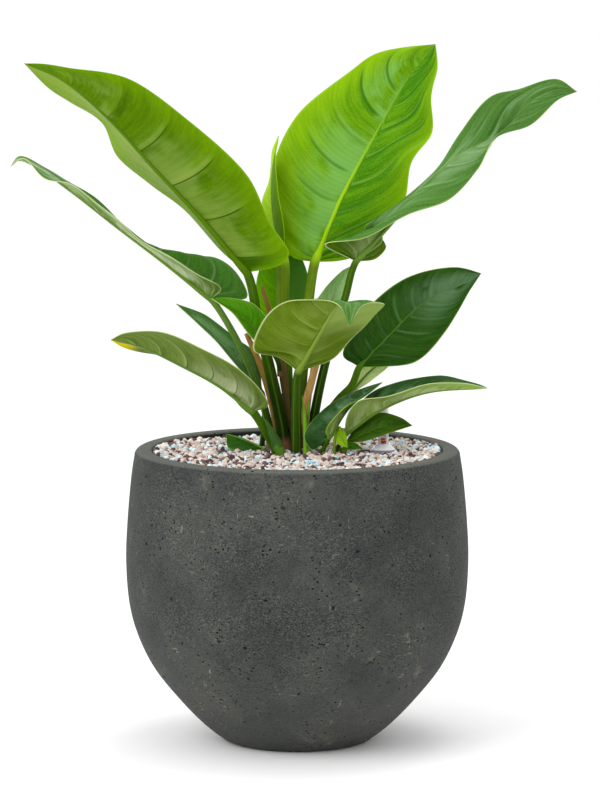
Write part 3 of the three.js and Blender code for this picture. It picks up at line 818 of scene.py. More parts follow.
def stalk_finish(name, foot, low, high, rim, rib, rib_end):
    """A stalk from its buried foot to the tip of the midrib; the joint is half way along."""
    stem = Finish(name, Specular_IOR_Level=0.07)
    along, around = stem.chart()
    fibre = stem.weave(along * 3, around * 26, 3, 0.6)
    mottle = stem.noise(stem.place((1, 1, 0.5)), 240, 3, 0.6)
    # Painted shade: the stalk is darker low down among the other stalks and lighter towards the
    # joint.
    stem.colour = stem.mix(along.step(0.12, 0.44), low, high)
    dark = stem.mix(0.75, stem.colour, (0.0, 0.01, 0.0, 1))
    shade = 0.4 + (fibre - 0.5) * 1.8 + (mottle - 0.5) * 1.0
    stem.coat((1 - shade).math("MAXIMUM", 0) * 0.55, dark)
    from_top = abs(around - 0.25)
    stem.coat((from_top - 0.1).line(0.035) * along.step(0.5, 0.46) * 0.6, rim)
    rib_colour = stem.mix(along.step(0.6, 0.85), rib, rib_end)
    stem.coat(along.step(0.485, 0.515), rib_colour)
    stem.coat(along.step(0.1, 0.075) * (0.4 + fibre * 0.6), foot)
    stem.paint(stem.colour, 0.5 + (fibre - 0.5) * 0.15)
    stem.relief(fibre, 0.3, 0.5)
    return stem


# %% The faces that the leaves have
FACE_LOOKS = {
    "pale_back": (
        (168, 196, 100), (212, 228, 156), (214, 222, 178), (110, 140, 60), (170, 190, 110),
        (210, 220, 160),
        dict(fine=0.4, shingle_bump_and_painted_light=0.2, bloom=0.5, rib_wide=0.012, specular=0.06),
    ),
    "lime_face": (
        (54, 114, 0), (128, 174, 0), (110, 164, 74), (38, 98, 4), (144, 184, 20), (136, 180, 0),
        dict(fine=0.0, crease=0.85, shingle_bump_and_painted_light=0.05, bloom=1.0, cover=0.03, one_sided=1.0,
            lit_rim=0.6, rib_wide=0.02, ribbed=0.2, glint=0.4, patch=0.8, roughness=0.45,
            specular=0.07),
    ),
    "lime_back": (
        (54, 90, 0), (94, 132, 0), (122, 146, 64), (34, 62, 0), (70, 112, 0), (108, 152, 0),
        dict(fine=0.85, shingle_bump_and_painted_light=0.3, bloom=0.65, bloom_along=(1.0, 0.75), lit_rim=0.5,
            rib_wide=0.008, ribbed=0.1, glint=0.5, thin_wide=0.022, vein_fade=(0.68, 0.52),
            patch=0.2, specular=0.03, right_half_painted_light=(138, 166, 66), base_shade=0.5),
    ),
    "rolled_face": (
        (50, 80, 0), (74, 108, 0), (112, 142, 44), (50, 84, 0), (110, 150, 20), (100, 132, 20),
        dict(fine=0.0, shingle_bump_and_painted_light=0.0, specular=0.02),
    ),
    "young_face": (
        (118, 164, 0), (146, 188, 10), (150, 190, 60), (100, 150, 4), (140, 180, 40),
        (150, 185, 50),
        dict(shingle_bump_and_painted_light=0.0, specular=0.07),
    ),
    "unrolling_face": (
        (136, 182, 0), (198, 240, 6), (180, 215, 80), (120, 160, 4), (110, 150, 10),
        (100, 132, 10),
        dict(fine=0.0, shingle_bump_and_painted_light=0.0, specular=0.04, right_half_painted_light=(74, 112, 0)),
    ),
    "sea_face": (
        (46, 90, 26), (92, 138, 58), (142, 172, 128), (30, 72, 18), (140, 172, 98), (128, 160, 70),
        dict(fine=0.1, crease=0.3, shingle_bump_and_painted_light=0.08, bloom=0.45, rib_wide=0.022, glint=0.35),
    ),
    "silver_face": (
        (40, 96, 20), (94, 146, 50), (174, 190, 158), (30, 76, 26), (150, 176, 110),
        (110, 150, 80),
        dict(fine=0.1, crease=0.3, bloom=1.0, cover=0.12, bloom_along=(0.3, 0.6), rib_wide=0.018,
            glint=0.3, specular=0.1),
    ),
    "sage_back": (
        (106, 140, 44), (160, 186, 100), (188, 204, 146), (84, 110, 44), (138, 160, 82),
        (198, 210, 154),
        dict(fine=0.5, shingle_bump_and_painted_light=0.2, bloom=0.65, lit_rim=0.1, rib_wide=0.012),
    ),
    "silver_back": (
        (76, 108, 26), (130, 154, 78), (198, 208, 168), (60, 92, 34), (120, 150, 60),
        (160, 182, 140),
        dict(fine=0.5, shingle_bump_and_painted_light=0.25, bloom=0.7, lit_rim=0.9, rim_along=(0.15, 0.4), rib_wide=0.012,
            patch=1.2, specular=0.12),
    ),
    "sage_back_yellow_tip": (
        (74, 100, 26), (122, 144, 66), (188, 200, 154), (48, 74, 16), (110, 136, 58),
        (140, 164, 84),
        dict(fine=0.75, shingle_bump_and_painted_light=0.28, bloom=0.85, cover=0.05, bloom_along=(0.6, 0.2), lit_rim=0.1,
            rib_wide=0.012, glint=0.1, tip=(204, 190, 0), tip_half=-1),
    ),
    "olive_back": (
        (76, 102, 8), (110, 136, 30), (138, 158, 78), (60, 88, 8), (116, 142, 60), (198, 208, 148),
        dict(fine=0.5, shingle_bump_and_painted_light=0.12, bloom=0.4, rib_wide=0.02, tip=(142, 168, 82), tip_half=1,
            tip_from=(0.28, 0.52)),
    ),
    "curled_back": (
        (48, 82, 0), (92, 126, 6), (180, 196, 140), (50, 80, 4), (116, 142, 60), (206, 214, 170),
        dict(fine=0.3, shingle_bump_and_painted_light=0.3, bloom=0.4, rib_wide=0.02, patch=1.4, specular=0.06),
    ),
    "bright_face": (
        (42, 100, 0), (80, 142, 0), (96, 152, 40), (36, 84, 0), (104, 150, 24), (172, 198, 106),
        dict(fine=0.25, bloom=0.3, lit_rim=0.1, specular=0.03),
    ),
    "shaded_face": (
        (84, 148, 0), (136, 206, 0), (110, 170, 40), (60, 110, 10), (104, 150, 24), (130, 170, 60),
        dict(fine=0.3, shingle_bump_and_painted_light=0.15, specular=0.06, right_half_painted_light=(78, 132, 46)),
    ),
    "deep_face": (
        (10, 44, 0), (48, 92, 8), (94, 128, 90), (92, 136, 70), (62, 98, 34), (120, 156, 40),
        dict(fine=0.15, shingle_bump_and_painted_light=0.06, bloom=0.75, cover=0.2, bloom_along=(0.4, 0.75),
            rib_wide=0.012, ribbed=0.1, glint=0.35, patch=0.8, roughness=0.45),
    ),
    "ground_face": (
        (12, 52, 0), (40, 88, 0), (60, 110, 20), (30, 80, 0), (50, 100, 10), (64, 120, 10),
        dict(lit_rim=0.3, patch=1.0, specular=0.06),
    ),
    "moss_face": (
        (18, 50, 0), (54, 94, 0), (76, 110, 20), (20, 48, 0), (72, 106, 16), (90, 120, 24),
        dict(fine=0.3, bloom=0.3, lit_rim=0.4, patch=0.8),
    ),
    "steel_face": (
        (14, 52, 6), (50, 90, 34), (112, 148, 112), (14, 48, 12), (80, 118, 64), (132, 160, 88),
        dict(shingle_bump_and_painted_light=0.08, bloom=0.45, patch=0.8, roughness=0.45, specular=0.1),
    ),
    "mist_face": (
        (46, 98, 32), (88, 138, 66), (140, 178, 124), (40, 84, 36), (150, 176, 120),
        (170, 194, 140),
        dict(bloom=0.6, cover=0.05, patch=0.8, specular=0.1),
    ),
    "far_mist_face": (
        (120, 172, 92), (176, 216, 136), (190, 216, 170), (90, 140, 70), (150, 190, 120),
        (180, 204, 150),
        dict(fine=0.3, shingle_bump_and_painted_light=0.2, bloom=0.4, patch=0.8),
    ),
}
FACES = {
    name: leaf_face(name, *tones(look[:-1]), **look[-1]) for name, look in FACE_LOOKS.items()
}
EDGE_TONES = {"lime_edge": (136, 184, 16), "pale_edge": (178, 194, 124)}
EDGES = {name: margin_finish(name, tone(*colour)) for name, colour in EDGE_TONES.items()}

# %% Kinds of stalk
STALK_TONES = {
    "young_stalk": ((168, 106, 84), (30, 50, 0), (70, 108, 0), (84, 112, 30), (76, 112, 0),
        (80, 116, 4)),
    "lime_stalk": ((150, 110, 60), (58, 90, 0), (122, 154, 26), (156, 174, 86), (148, 190, 16),
        (96, 148, 46)),
    "dark_stalk": ((130, 90, 60), (34, 64, 0), (68, 106, 0), (90, 124, 40), (100, 136, 46),
        (96, 132, 56)),
    "deep_stalk": ((110, 90, 50), (44, 78, 0), (80, 122, 0), (100, 136, 40), (70, 110, 24),
        (72, 108, 36)),
    "olive_stalk": ((96, 90, 40), (46, 76, 0), (62, 96, 10), (96, 126, 50), (116, 144, 50),
        (128, 154, 66)),
    "gleaming_stalk": ((120, 100, 50), (60, 96, 10), (110, 150, 60), (150, 180, 90),
        (100, 136, 46), (96, 132, 56)),
}
STALKS = {name: stalk_finish(name, *tones(colours)) for name, colours in STALK_TONES.items()}

# %% [markdown]
# ## The leaves
# A leaf of this plant is a broad blade on a long stalk that runs on as the midrib. From the
# midrib five to nine pairs of side veins sweep towards the margin and on to the tip, and the
# blade between them is a little pillowed. Each leaf is drawn by four lines in millimetres:
# its stalk, its midrib and its left and right margins, left and right as seen on the upper
# face with the tip up. A grid is laid over the three blade lines, pressed down along the
# veins and given a thickness, so both faces and the pale edge are real surfaces.

# %% The drawn lines of every leaf
BIG, MIDDLE, SMALL = (110, 36), (84, 28), (48, 16)


def drawn_leaf(
    name, slot, upper, lower, edge, stem, grid, *, joint, tip, stalk, mid, left, right,
    start=0.0, sweeps=((0.5, 1.1), (0.5, 1.1)), rootless=False, **sizes,
):
    """upper, lower, edge and stem name the finishes. The midrib and the margins run from the
    joint with the stalk to the tip. sizes are how many side veins each half has, the depth of
    the dimples (quilt) and of the margin's waves (ripple), how much the midrib's radius shrinks
    from joint to tip (rib) and the stalk's width at its foot and top, in millimetres. start
    moves the veins down, and sweeps bend those of the left and of the right half towards the
    tip."""
    drawn = {"mid": mid, "left": left, "right": right}
    lines = {key: [joint, *line, tip] for key, line in drawn.items()}
    finishes = (FACES[upper], FACES[lower], EDGES[edge], STALKS[stem])
    return {
        "name": name, "slot": slot, "finishes": finishes, "grid": grid, **lines,
        "stalk": [*stalk, joint], "start": start, "sweeps": sweeps, "rootless": rootless, **sizes,
    }


LEAVES = [
    drawn_leaf(
        "leaf_upper_left", "leaf_underside", "lime_face", "lime_back", "lime_edge", "young_stalk",
        BIG, veins=6.5, quilt=0.8, ripple=0.7, rib=2.6, stalk_width=(15, 9), start=0.55,
        sweeps=((0.05, 0.45), (1.4, 1.0)), joint=(-51, 0, 480), tip=(-271, -72, 696),
        stalk=[(-13, 20, 292), (-16, 20, 321), (-28, 12, 379), (-40, 6, 431)],
        mid=[(-94, -14, 534), (-142, -32, 587), (-187, -50, 638), (-234, -64, 679)],
        left=[(-17, -6, 489), (-8, -7, 500), (-28, -8, 531), (-50, -24, 581), (-105, -34, 633),
            (-167, -47, 679), (-226, -54, 690), (-252, -63, 695)],
        right=[(-79, 32, 500), (-115, 40, 541), (-150, 32, 567), (-182, 16, 597), (-196, 0, 631),
            (-227, -26, 654), (-249, -47, 671)],
    ),
    drawn_leaf(
        "leaf_upper_centre", "leaf_bright", "lime_face", "lime_back", "lime_edge", "lime_stalk",
        BIG, veins=8, quilt=1.3, ripple=1.2, rib=2.6, stalk_width=(10, 10),
        sweeps=((0.1, 1.2), (1.5, 1.4)), joint=(18, 28, 488), tip=(143, 126, 705),
        stalk=[(3, 36, 290), (4, 34, 345), (7, 32, 387), (11, 28, 439)],
        mid=[(44, 46, 550), (77, 74, 609), (111, 104, 666)],
        left=[(-6, 31, 494), (-22, 44, 530), (-24, 56, 585), (1, 73, 636), (54, 95, 678),
            (83, 108, 697)],
        right=[(54, 35, 491), (85, 47, 512), (110, 58, 548), (117, 60, 587), (139, 85, 617),
            (138, 93, 653), (145, 113, 683)],
    ),
    drawn_leaf(
        "leaf_upper_right", "leaf_dark", "sea_face", "curled_back", "pale_edge", "dark_stalk", BIG,
        veins=8, quilt=1.2, ripple=1.0, rib=1.6, stalk_width=(11, 7),
        sweeps=((1.4, 1.4), (1.4, 1.4)), joint=(60, 24, 489), tip=(288, 90, 658),
        stalk=[(14, 28, 291), (16, 28, 320), (29, 26, 385), (49, 24, 452)],
        mid=[(84, 24, 515), (125, 36, 561), (166, 52, 596), (208, 68, 617), (249, 84, 654)],
        left=[(80, 34, 491), (91, 38, 503), (80, 40, 513), (69, 36, 522), (105, 42, 547),
            (141, 63, 578), (166, 72, 615), (198, 72, 654), (228, 85, 661), (267, 87, 671)],
        right=[(28, 12, 507), (66, 4, 515), (115, 13, 538), (156, 23, 554), (184, 40, 581),
            (203, 52, 613), (240, 70, 625), (268, 81, 650)],
    ),
    drawn_leaf(
        "leaf_unfurling", "leaf_bright", "unrolling_face", "rolled_face", "lime_edge",
        "lime_stalk", MIDDLE, veins=7, quilt=0.2, ripple=0.2, rib=1.2, stalk_width=(11, 14),
        joint=(-15, 32, 487), tip=(-19, 42, 616),
        stalk=[(-10, 40, 289), (-10, 40, 344), (-12, 38, 396), (-15, 34, 448)],
        mid=[(-25, 34, 536), (-26, 38, 577)],
        left=[(-35, 56, 527), (-36, 59, 547), (-28, 59, 570), (-25, 45, 602)],
        right=[(-13, 20, 517), (-20, 23, 563), (-22, 34, 597)],
    ),
    drawn_leaf(
        "leaf_long_left", "leaf_dark", "silver_face", "silver_back", "pale_edge", "gleaming_stalk",
        BIG, veins=9, quilt=0.9, ripple=1.0, rib=1.8, stalk_width=(10, 7),
        sweeps=((1.2, 1.2), (1.2, 1.2)), joint=(-88, 20, 451), tip=(-288, -24, 590),
        stalk=[(-27, 32, 291), (-28, 32, 314), (-41, 28, 362), (-67, 22, 419)],
        mid=[(-134, 10, 489), (-185, -2, 529), (-227, -14, 563), (-266, -23, 591),
            (-280, -24, 596)],
        left=[(-78, 6, 462), (-100, -14, 480), (-154, -20, 513), (-226, -28, 571),
            (-253, -31, 578), (-275, -27, 598)],
        right=[(-51, 39, 451), (-61, 45, 474), (-87, 42, 491), (-129, 32, 490), (-151, 26, 503),
            (-204, 5, 554), (-255, -15, 588), (-280, -23, 600)],
    ),
    drawn_leaf(
        "leaf_front", "leaf_underside", "sea_face", "olive_back", "pale_edge", "olive_stalk", BIG,
        veins=7, quilt=0.9, ripple=0.6, rib=2.2, stalk_width=(13, 8),
        sweeps=((0.9, 0.7), (0.9, 0.7)), joint=(1, -18, 381), tip=(52, -108, 437),
        stalk=[(-1, 6, 294), (-1, 4, 323), (-1, -4, 350)],
        mid=[(21, -38, 419), (41, -66, 454), (52, -94, 457)],
        left=[(36, -7, 393), (56, -9, 414), (77, -43, 440), (87, -69, 456), (64, -96, 456)],
        right=[(-19, -18, 396), (-44, -33, 404), (-34, -47, 437), (-12, -56, 456), (23, -75, 460),
            (43, -99, 456)],
    ),
    drawn_leaf(
        "leaf_low_left", "leaf_underside", "sea_face", "sage_back_yellow_tip", "pale_edge",
        "dark_stalk", BIG, veins=6, quilt=0.9, ripple=0.6, rib=1.6, stalk_width=(11, 9),
        sweeps=((0.5, 1.4), (0.5, 1.4)), joint=(-45, 4, 337), tip=(-188, -38, 416),
        stalk=[(-21, 2, 295), (-30, 4, 313), (-39, 4, 329)],
        mid=[(-79, -6, 365), (-119, -18, 388), (-159, -30, 408)],
        left=[(-30, -11, 345), (-43, -29, 371), (-88, -44, 404), (-138, -51, 425),
            (-173, -45, 424)],
        right=[(-38, 18, 345), (-84, 27, 378), (-135, 4, 394), (-176, -27, 407)],
    ),
    drawn_leaf(
        "leaf_back_left", "leaf_dark", "mist_face", "sage_back", "pale_edge", "dark_stalk", MIDDLE,
        veins=7, quilt=0.6, ripple=0.5, rib=1.3, stalk_width=(6, 5), joint=(-36, 42, 352),
        tip=(-124, 22, 446),
        stalk=[(-37, 46, 289), (-34, 44, 323)],
        mid=[(-71, 34, 399), (-99, 28, 425)],
        left=[(-57, 30, 375), (-83, 23, 407)],
        right=[(-42, 43, 391), (-64, 41, 409), (-94, 33, 433)],
    ),
    drawn_leaf(
        "leaf_bright_left", "leaf_bright", "bright_face", "sage_back", "pale_edge", "dark_stalk",
        MIDDLE, veins=6, quilt=0.5, ripple=0.4, rib=1.2, stalk_width=(5, 5), rootless=True,
        joint=(-26, -4, 401), tip=(-87, -12, 455),
        stalk=[(-17.9, 14, 373), (-19, 8, 386)],
        mid=[(-58, -8, 438)],
        left=[(-44, -16, 413), (-66, -18, 441)],
        right=[(-25, -3, 421), (-43, -7, 448), (-68, -8, 455)],
    ),
    drawn_leaf(
        "leaf_right", "leaf_dark", "deep_face", "sage_back", "lime_edge", "deep_stalk", BIG,
        veins=8, quilt=1.1, ripple=0.8, rib=1.8, stalk_width=(9, 7),
        sweeps=((0.8, 0.5), (1.6, 0.7)), joint=(64, 46, 378), tip=(190, 82, 471),
        stalk=[(21, 42, 289), (25, 44, 318), (42, 46, 344), (56, 46, 359)],
        mid=[(90, 53, 405), (132, 65, 444)],
        left=[(47, 45, 390), (56, 46, 412), (80, 52, 446), (116, 61, 470), (163, 74, 478)],
        right=[(85, 39, 379), (122, 48, 383), (151, 58, 411), (178, 72, 454)],
    ),
    drawn_leaf(
        "leaf_curled_right", "leaf_dark", "steel_face", "sage_back", "lime_edge", "dark_stalk",
        MIDDLE, veins=7, quilt=0.5, ripple=0.3, rib=1.3, stalk_width=(6, 5), joint=(32, -4, 311),
        tip=(87, 14, 366),
        stalk=[(23, 4, 292), (27, 0, 300)],
        mid=[(54, -4, 344)],
        left=[(15, -5, 299), (7, -5, 312), (18, 3, 331), (44, 11, 350), (74, 15, 362)],
        right=[(29, -16, 320), (44, -25, 342), (70, -6, 355)],
    ),
    drawn_leaf(
        "leaf_low_right", "leaf_dark", "steel_face", "sage_back", "pale_edge", "dark_stalk", BIG,
        veins=8, quilt=0.8, ripple=0.5, rib=1.4, stalk_width=(5, 5), joint=(49, 2, 314),
        tip=(193, -16, 364),
        stalk=[(37, 16, 290), (43, 10, 302)],
        mid=[(83, -8, 340), (130, -14, 359)],
        left=[(58, 19, 335), (81, 18, 358), (111, 12, 368), (142, 5, 374), (181, -9, 368)],
        right=[(50, -16, 333), (63, -28, 353), (92, -30, 357), (124, -29, 368), (165, -21, 370)],
    ),
    drawn_leaf(
        "leaf_small_right", "leaf_dark", "moss_face", "moss_face", "lime_edge", "deep_stalk",
        MIDDLE, veins=6, quilt=0.4, ripple=0.3, rib=1.1, stalk_width=(4, 4),
        joint=(49.5, 0, 306.5), tip=(117, -8, 324.5),
        stalk=[(48, 0, 290), (48.5, 0, 299)],
        mid=[(85, -5, 322)],
        left=[(59, 5, 319), (83, 1, 336), (105, -2, 332)],
        right=[(66, -8, 308), (99, -11, 319)],
    ),
    drawn_leaf(
        "leaf_tiny_right", "leaf_bright", "young_face", "young_face", "lime_edge", "lime_stalk",
        SMALL, veins=5, quilt=0.2, ripple=0.1, rib=0.9, stalk_width=(3, 3),
        joint=(43.5, -2, 322.2), tip=(51.1, -10, 301.8),
        stalk=[(38.4, -6, 291.9), (38.2, -6, 309.4)],
        mid=[(44.5, -7, 314.7)],
        left=[(37.2, -5, 314.4), (41.5, -7.4, 305.5)],
        right=[(48.6, -9, 318.1), (50.6, -11.3, 309.1)],
    ),
    drawn_leaf(
        "leaf_tiny_flat", "leaf_bright", "bright_face", "young_face", "lime_edge", "lime_stalk",
        SMALL, veins=5, quilt=0.2, ripple=0.1, rib=0.8, stalk_width=(3, 3), joint=(46, 21, 297),
        tip=(67, 24, 296),
        stalk=[(42, 24, 289), (43, 23, 293)],
        mid=[(56, 22, 299.5)],
        left=[(52, 25, 302), (59, 25, 302)],
        right=[(54, 18, 296), (61, 20, 296.5)],
    ),
    drawn_leaf(
        "leaf_pale_right", "leaf_underside", "pale_back", "pale_back", "pale_edge", "dark_stalk",
        MIDDLE, veins=6, quilt=0.4, ripple=0.3, rib=1.2, stalk_width=(5, 5), joint=(54, 56, 348),
        tip=(101, 68, 391),
        stalk=[(26, 56, 287), (38, 56, 322)],
        mid=[(75, 62, 371)],
        left=[(76, 53, 363), (98, 63, 381)],
        right=[(63, 67, 370), (85, 70, 386)],
    ),
    drawn_leaf(
        "leaf_back_right", "leaf_dark", "far_mist_face", "sage_back", "pale_edge", "dark_stalk",
        MIDDLE, veins=6, quilt=0.5, ripple=0.4, rib=1.3, stalk_width=(5, 5), joint=(21, 54, 405),
        tip=(55, 54, 481),
        stalk=[(8, 52, 288), (12, 52, 343)],
        mid=[(36, 54, 448)],
        left=[(11, 57, 427), (25, 59, 453), (46, 56, 476)],
        right=[(44, 48, 421), (52, 48, 457)],
    ),
    drawn_leaf(
        "leaf_back_centre", "leaf_dark", "shaded_face", "sage_back", "lime_edge", "dark_stalk",
        MIDDLE, veins=7, quilt=0.6, ripple=0.4, rib=1.4, stalk_width=(5, 5), joint=(-11, 54, 415),
        tip=(-14, 62, 507),
        stalk=[(-18, 56, 287), (-13, 54, 353)],
        mid=[(-16, 58, 472)],
        left=[(-36, 49, 428), (-42, 50, 465), (-28, 57, 498)],
        right=[(11, 48, 428), (12, 51, 467), (0, 57, 497)],
    ),
    drawn_leaf(
        "leaf_on_gravel", "leaf_bright", "ground_face", "ground_face", "lime_edge", "dark_stalk",
        SMALL, veins=5, quilt=0.3, ripple=0.2, rib=0.8, stalk_width=(3, 3), joint=(-34.1, 22, 296),
        tip=(-73.3, 40, 309.2),
        stalk=[(-31, 20, 288.2), (-32, 20, 291.3)],
        mid=[(-52.6, 28, 304)],
        left=[(-56.8, 34.8, 306)],
        right=[(-53.4, 12.5, 295), (-69.9, 20.8, 297)],
    ),
]
ROOT_DEPTH = 24
BLADE_BULGE = 0.05
BLADE_THICKNESS = 0.8

# %% Smooth lines through drawn points
LINE_STEPS = 400
BEND_STEPS = 60


def evenly(points):
    """LINE_STEPS + 1 points, evenly spaced, on a smooth line through the drawn points."""
    drawn = np.array(points, float)
    padded = np.vstack([2 * drawn[0] - drawn[1], drawn, 2 * drawn[-1] - drawn[-2]])
    gaps = np.linalg.norm(np.diff(padded, axis=0), axis=1) ** 0.5
    shares = np.linspace(0, 1, BEND_STEPS, endpoint=False)[:, None]
    line = []
    for i in range(len(drawn) - 1):
        before, start, end, after = padded[i : i + 4]
        g0, g1, g2 = gaps[i : i + 3]
        leave = ((start - before) / g0 - (end - before) / (g0 + g1) + (end - start) / g1) * g1
        arrive = ((end - start) / g1 - (after - start) / (g1 + g2) + (after - end) / g2) * g1
        line.append(bend(shares, start, end, leave, arrive))
    line = np.vstack([*line, drawn[-1:]])
    run = np.concatenate([[0], np.cumsum(np.linalg.norm(np.diff(line, axis=0), axis=1))])
    return at_share(line, np.linspace(0, 1, LINE_STEPS + 1), run / run[-1])


def at_share(line, shares, marks=None):
    """The points of a line at shares of its length, from 0 to 1."""
    marks = np.linspace(0, 1, len(line)) if marks is None else marks
    return np.stack([np.interp(shares, marks, line[:, k]) for k in range(3)], axis=1)


def unit(vectors):
    return vectors / np.maximum(np.linalg.norm(vectors, axis=1, keepdims=True), 1e-9)


# %% The blade's form
VEIN_WIDTH = 0.1
BASE_PUCKER = 1.4
BASE_PUCKER_REACH = 0.14
BLADE_INSIDE = (0.02, 0.98)
RUN_STEP = 0.01
FULL_WIDTH = 22


def vein_count(leaf, share, is_right):
    """Counts the side veins up the blade: a vein lies where the count is a whole number. The
    sweeps, two numbers for each half, bend the veins towards the tip."""
    (low_left, high_left), (low_right, high_right) = leaf["sweeps"]
    slope = low_left + (low_right - low_left) * is_right
    curve = high_left + (high_right - high_left) * is_right
    start = leaf["start"] + 0.5 * is_right
    return lambda along: leaf["veins"] * along + start - slope * share - curve * share**2


def blade_up(lines, along):
    """The direction that the upper face looks in, at shares of the midrib."""
    mid, left, right = lines
    inside_blade = np.clip(along, *BLADE_INSIDE)
    across = at_share(right, inside_blade) - at_share(left, inside_blade)
    run = at_share(mid, inside_blade + RUN_STEP) - at_share(mid, inside_blade - RUN_STEP)
    return unit(np.cross(across, run))


def blade_form(leaf, lines, along, across):
    """The points of the blade, in metres."""
    mid, left, right = lines
    centre = at_share(mid, along)
    is_right = (across > 0.5).astype(float)
    edge = np.where(is_right[:, None] > 0, at_share(right, along), at_share(left, along))
    share = np.abs(2 * across - 1)
    width = np.linalg.norm(edge - centre, axis=1)
    broad = np.clip(width / FULL_WIDTH, 0, 1)
    bulge = BLADE_BULGE * width * 4 * share * (1 - share)
    count = vein_count(leaf, share, is_right)(along)
    to_vein = np.abs(count - np.round(count))
    free = np.clip(share * 6, 0, 1) * np.clip((1 - share) * 5, 0, 1) * broad
    pillow = np.sin(math.pi * to_vein) ** 1.4 - 0.5
    groove = np.exp(-((to_vein / VEIN_WIDTH) ** 2))
    pucker = 1 + BASE_PUCKER * np.exp(-((along / BASE_PUCKER_REACH) ** 2))
    press = leaf["quilt"] * pucker * (pillow - 0.5 * groove) * free
    ripple = leaf["ripple"] * share**4 * np.sin(2 * math.pi * (count * 0.5 + leaf["veins"]))
    lift = bulge + press + ripple * broad
    points = centre + (edge - centre) * share[:, None] + blade_up(lines, along) * lift[:, None]
    return points * MM


# %% Stalk and midrib
RIB_END = 0.45
RIB_TAPER = 1.1
RIB_POINT = (0.8, 0.55, 0.3)
RIB_SUNK = 0.5
JOINT_SHARE = 0.22
STALK_GROOVE = 0.22
GROOVE_SPREAD = 0.45
STALK_ROWS = 60
STALK_SIDES = 20


def stalk_line(leaf, lines):
    """Centre line, width and upper side of the stalk and the midrib, the joint in the middle."""
    mid = lines[0]
    path = list(leaf["stalk"])
    if not leaf["rootless"]:
        path.insert(0, (path[0][0], path[0][1], path[0][2] - ROOT_DEPTH))
    joint = at_share(mid, np.array([JOINT_SHARE / 2, JOINT_SHARE]))
    whole = evenly([*path, *map(tuple, joint)])
    to_joint = np.linalg.norm(whole - np.array(path[-1]), axis=1).argmin() / LINE_STEPS
    halves = np.linspace(0, 1, STALK_ROWS + 1)
    below = at_share(whole, halves * to_joint)
    on_rib = halves[1:]
    rib = at_share(mid, on_rib)
    rib_up = blade_up(lines, on_rib)
    foot, top = (w / 2 for w in leaf["stalk_width"])
    stalk_radius = foot + (top - foot) * halves
    taper = leaf["rib"] * (1 - on_rib) ** RIB_TAPER + RIB_END
    rib_radius = np.maximum(top * (1 - on_rib / JOINT_SHARE), taper)
    rib_radius[-len(RIB_POINT) :] *= RIB_POINT
    sunk = rib_up * (rib_radius * RIB_SUNK * np.clip(on_rib * 12, 0, 1))[:, None]
    line = np.vstack([below, rib - sunk])
    radius = np.concatenate([stalk_radius, rib_radius])
    start_up = rib_up[2:8].mean(axis=0)
    up = np.vstack([np.repeat(start_up[None], len(below), axis=0), rib_up])
    grooved = np.concatenate([1 - np.clip((halves - 0.9) * 10, 0, 1), np.zeros(STALK_ROWS)])
    return line, radius, up, grooved


def tube(name, line, radius, up, grooved, flat=1.0):
    """A round piece along a line in millimetres, hollowed a little on its upper side."""
    run = unit(np.gradient(line, axis=0))
    side = unit(np.cross(run, up))
    upright = np.cross(side, run)

    def where(along, across):
        place = along * (len(line) - 1)
        turn = 2 * math.pi * across

        def read(column):
            return np.interp(place, range(len(line)), column)

        def pick(rows):
            return np.stack([read(rows[:, k]) for k in range(3)], axis=1)

        size = read(radius)
        hollow = read(grooved) * STALK_GROOVE
        from_top = np.abs(np.angle(np.exp(1j * (turn - math.pi / 2))))
        size = size * (1 - hollow * np.exp(-((from_top / GROOVE_SPREAD) ** 2)))
        outward = pick(side) * np.cos(turn)[:, None]
        outward = outward + pick(upright) * (np.sin(turn) * flat)[:, None]
        return (pick(line) + outward * size[:, None]) * MM

    piece = sheet_of(name, len(line) - 1, STALK_SIDES, where)
    close_ends(piece)
    return piece


def leaf_piece(leaf):
    """Blade, midrib and stalk of one leaf as one piece."""
    lines = [evenly(leaf[key]) for key in ("mid", "left", "right")]
    rows, columns = leaf["grid"]
    blade = sheet_of(
        "blade", rows, columns, lambda along, across: blade_form(leaf, lines, along, across)
    )
    charted = blade.data.uv_layers.active.data
    along_across = np.empty(len(charted) * 2)
    charted.foreach_get("uv", along_across)
    corner_points = np.empty(len(charted), int)
    blade.data.loops.foreach_get("vertex_index", corner_points)
    along, across = along_across.reshape(-1, 2).T
    share = np.abs(2 * across - 1)
    counts = vein_count(leaf, share, (across < 0.5).astype(float))(along)
    vein = blade.data.attributes.new("vein", "FLOAT", "CORNER")
    vein.data.foreach_set("value", (counts + 20).astype(np.float32))
    upper, lower, edge, stem = leaf["finishes"]
    for finish in (upper, lower, edge):
        blade.data.materials.append(finish.material)
    apply_modifier(
        blade, "SOLIDIFY", thickness=BLADE_THICKNESS * MM, offset=0,
        material_offset=1, material_offset_rim=2,
    )
    line, radius, up, grooved = stalk_line(leaf, lines)
    stalk = tube("stalk", line, radius, up, grooved)
    stalk.data.materials.append(stem.material)
    piece = joined(leaf["name"] + "_fine", [blade, stalk])
    smooth_shading(piece, 50)
    return piece

# %% Make every leaf
for leaf in LEAVES:
    finished(leaf_piece(leaf), None, leaf["slot"], leaf["name"])

# %% [markdown]
# ## Dry sheaths and young shoots
# Each new leaf comes out of a sheath that dries to tan paper and stays on the stem, and a few
# pointed shoots stand between the stalks. Both are tapered tubes here, the sheaths flattened
# and grooved along their length, with fibres in the finish.

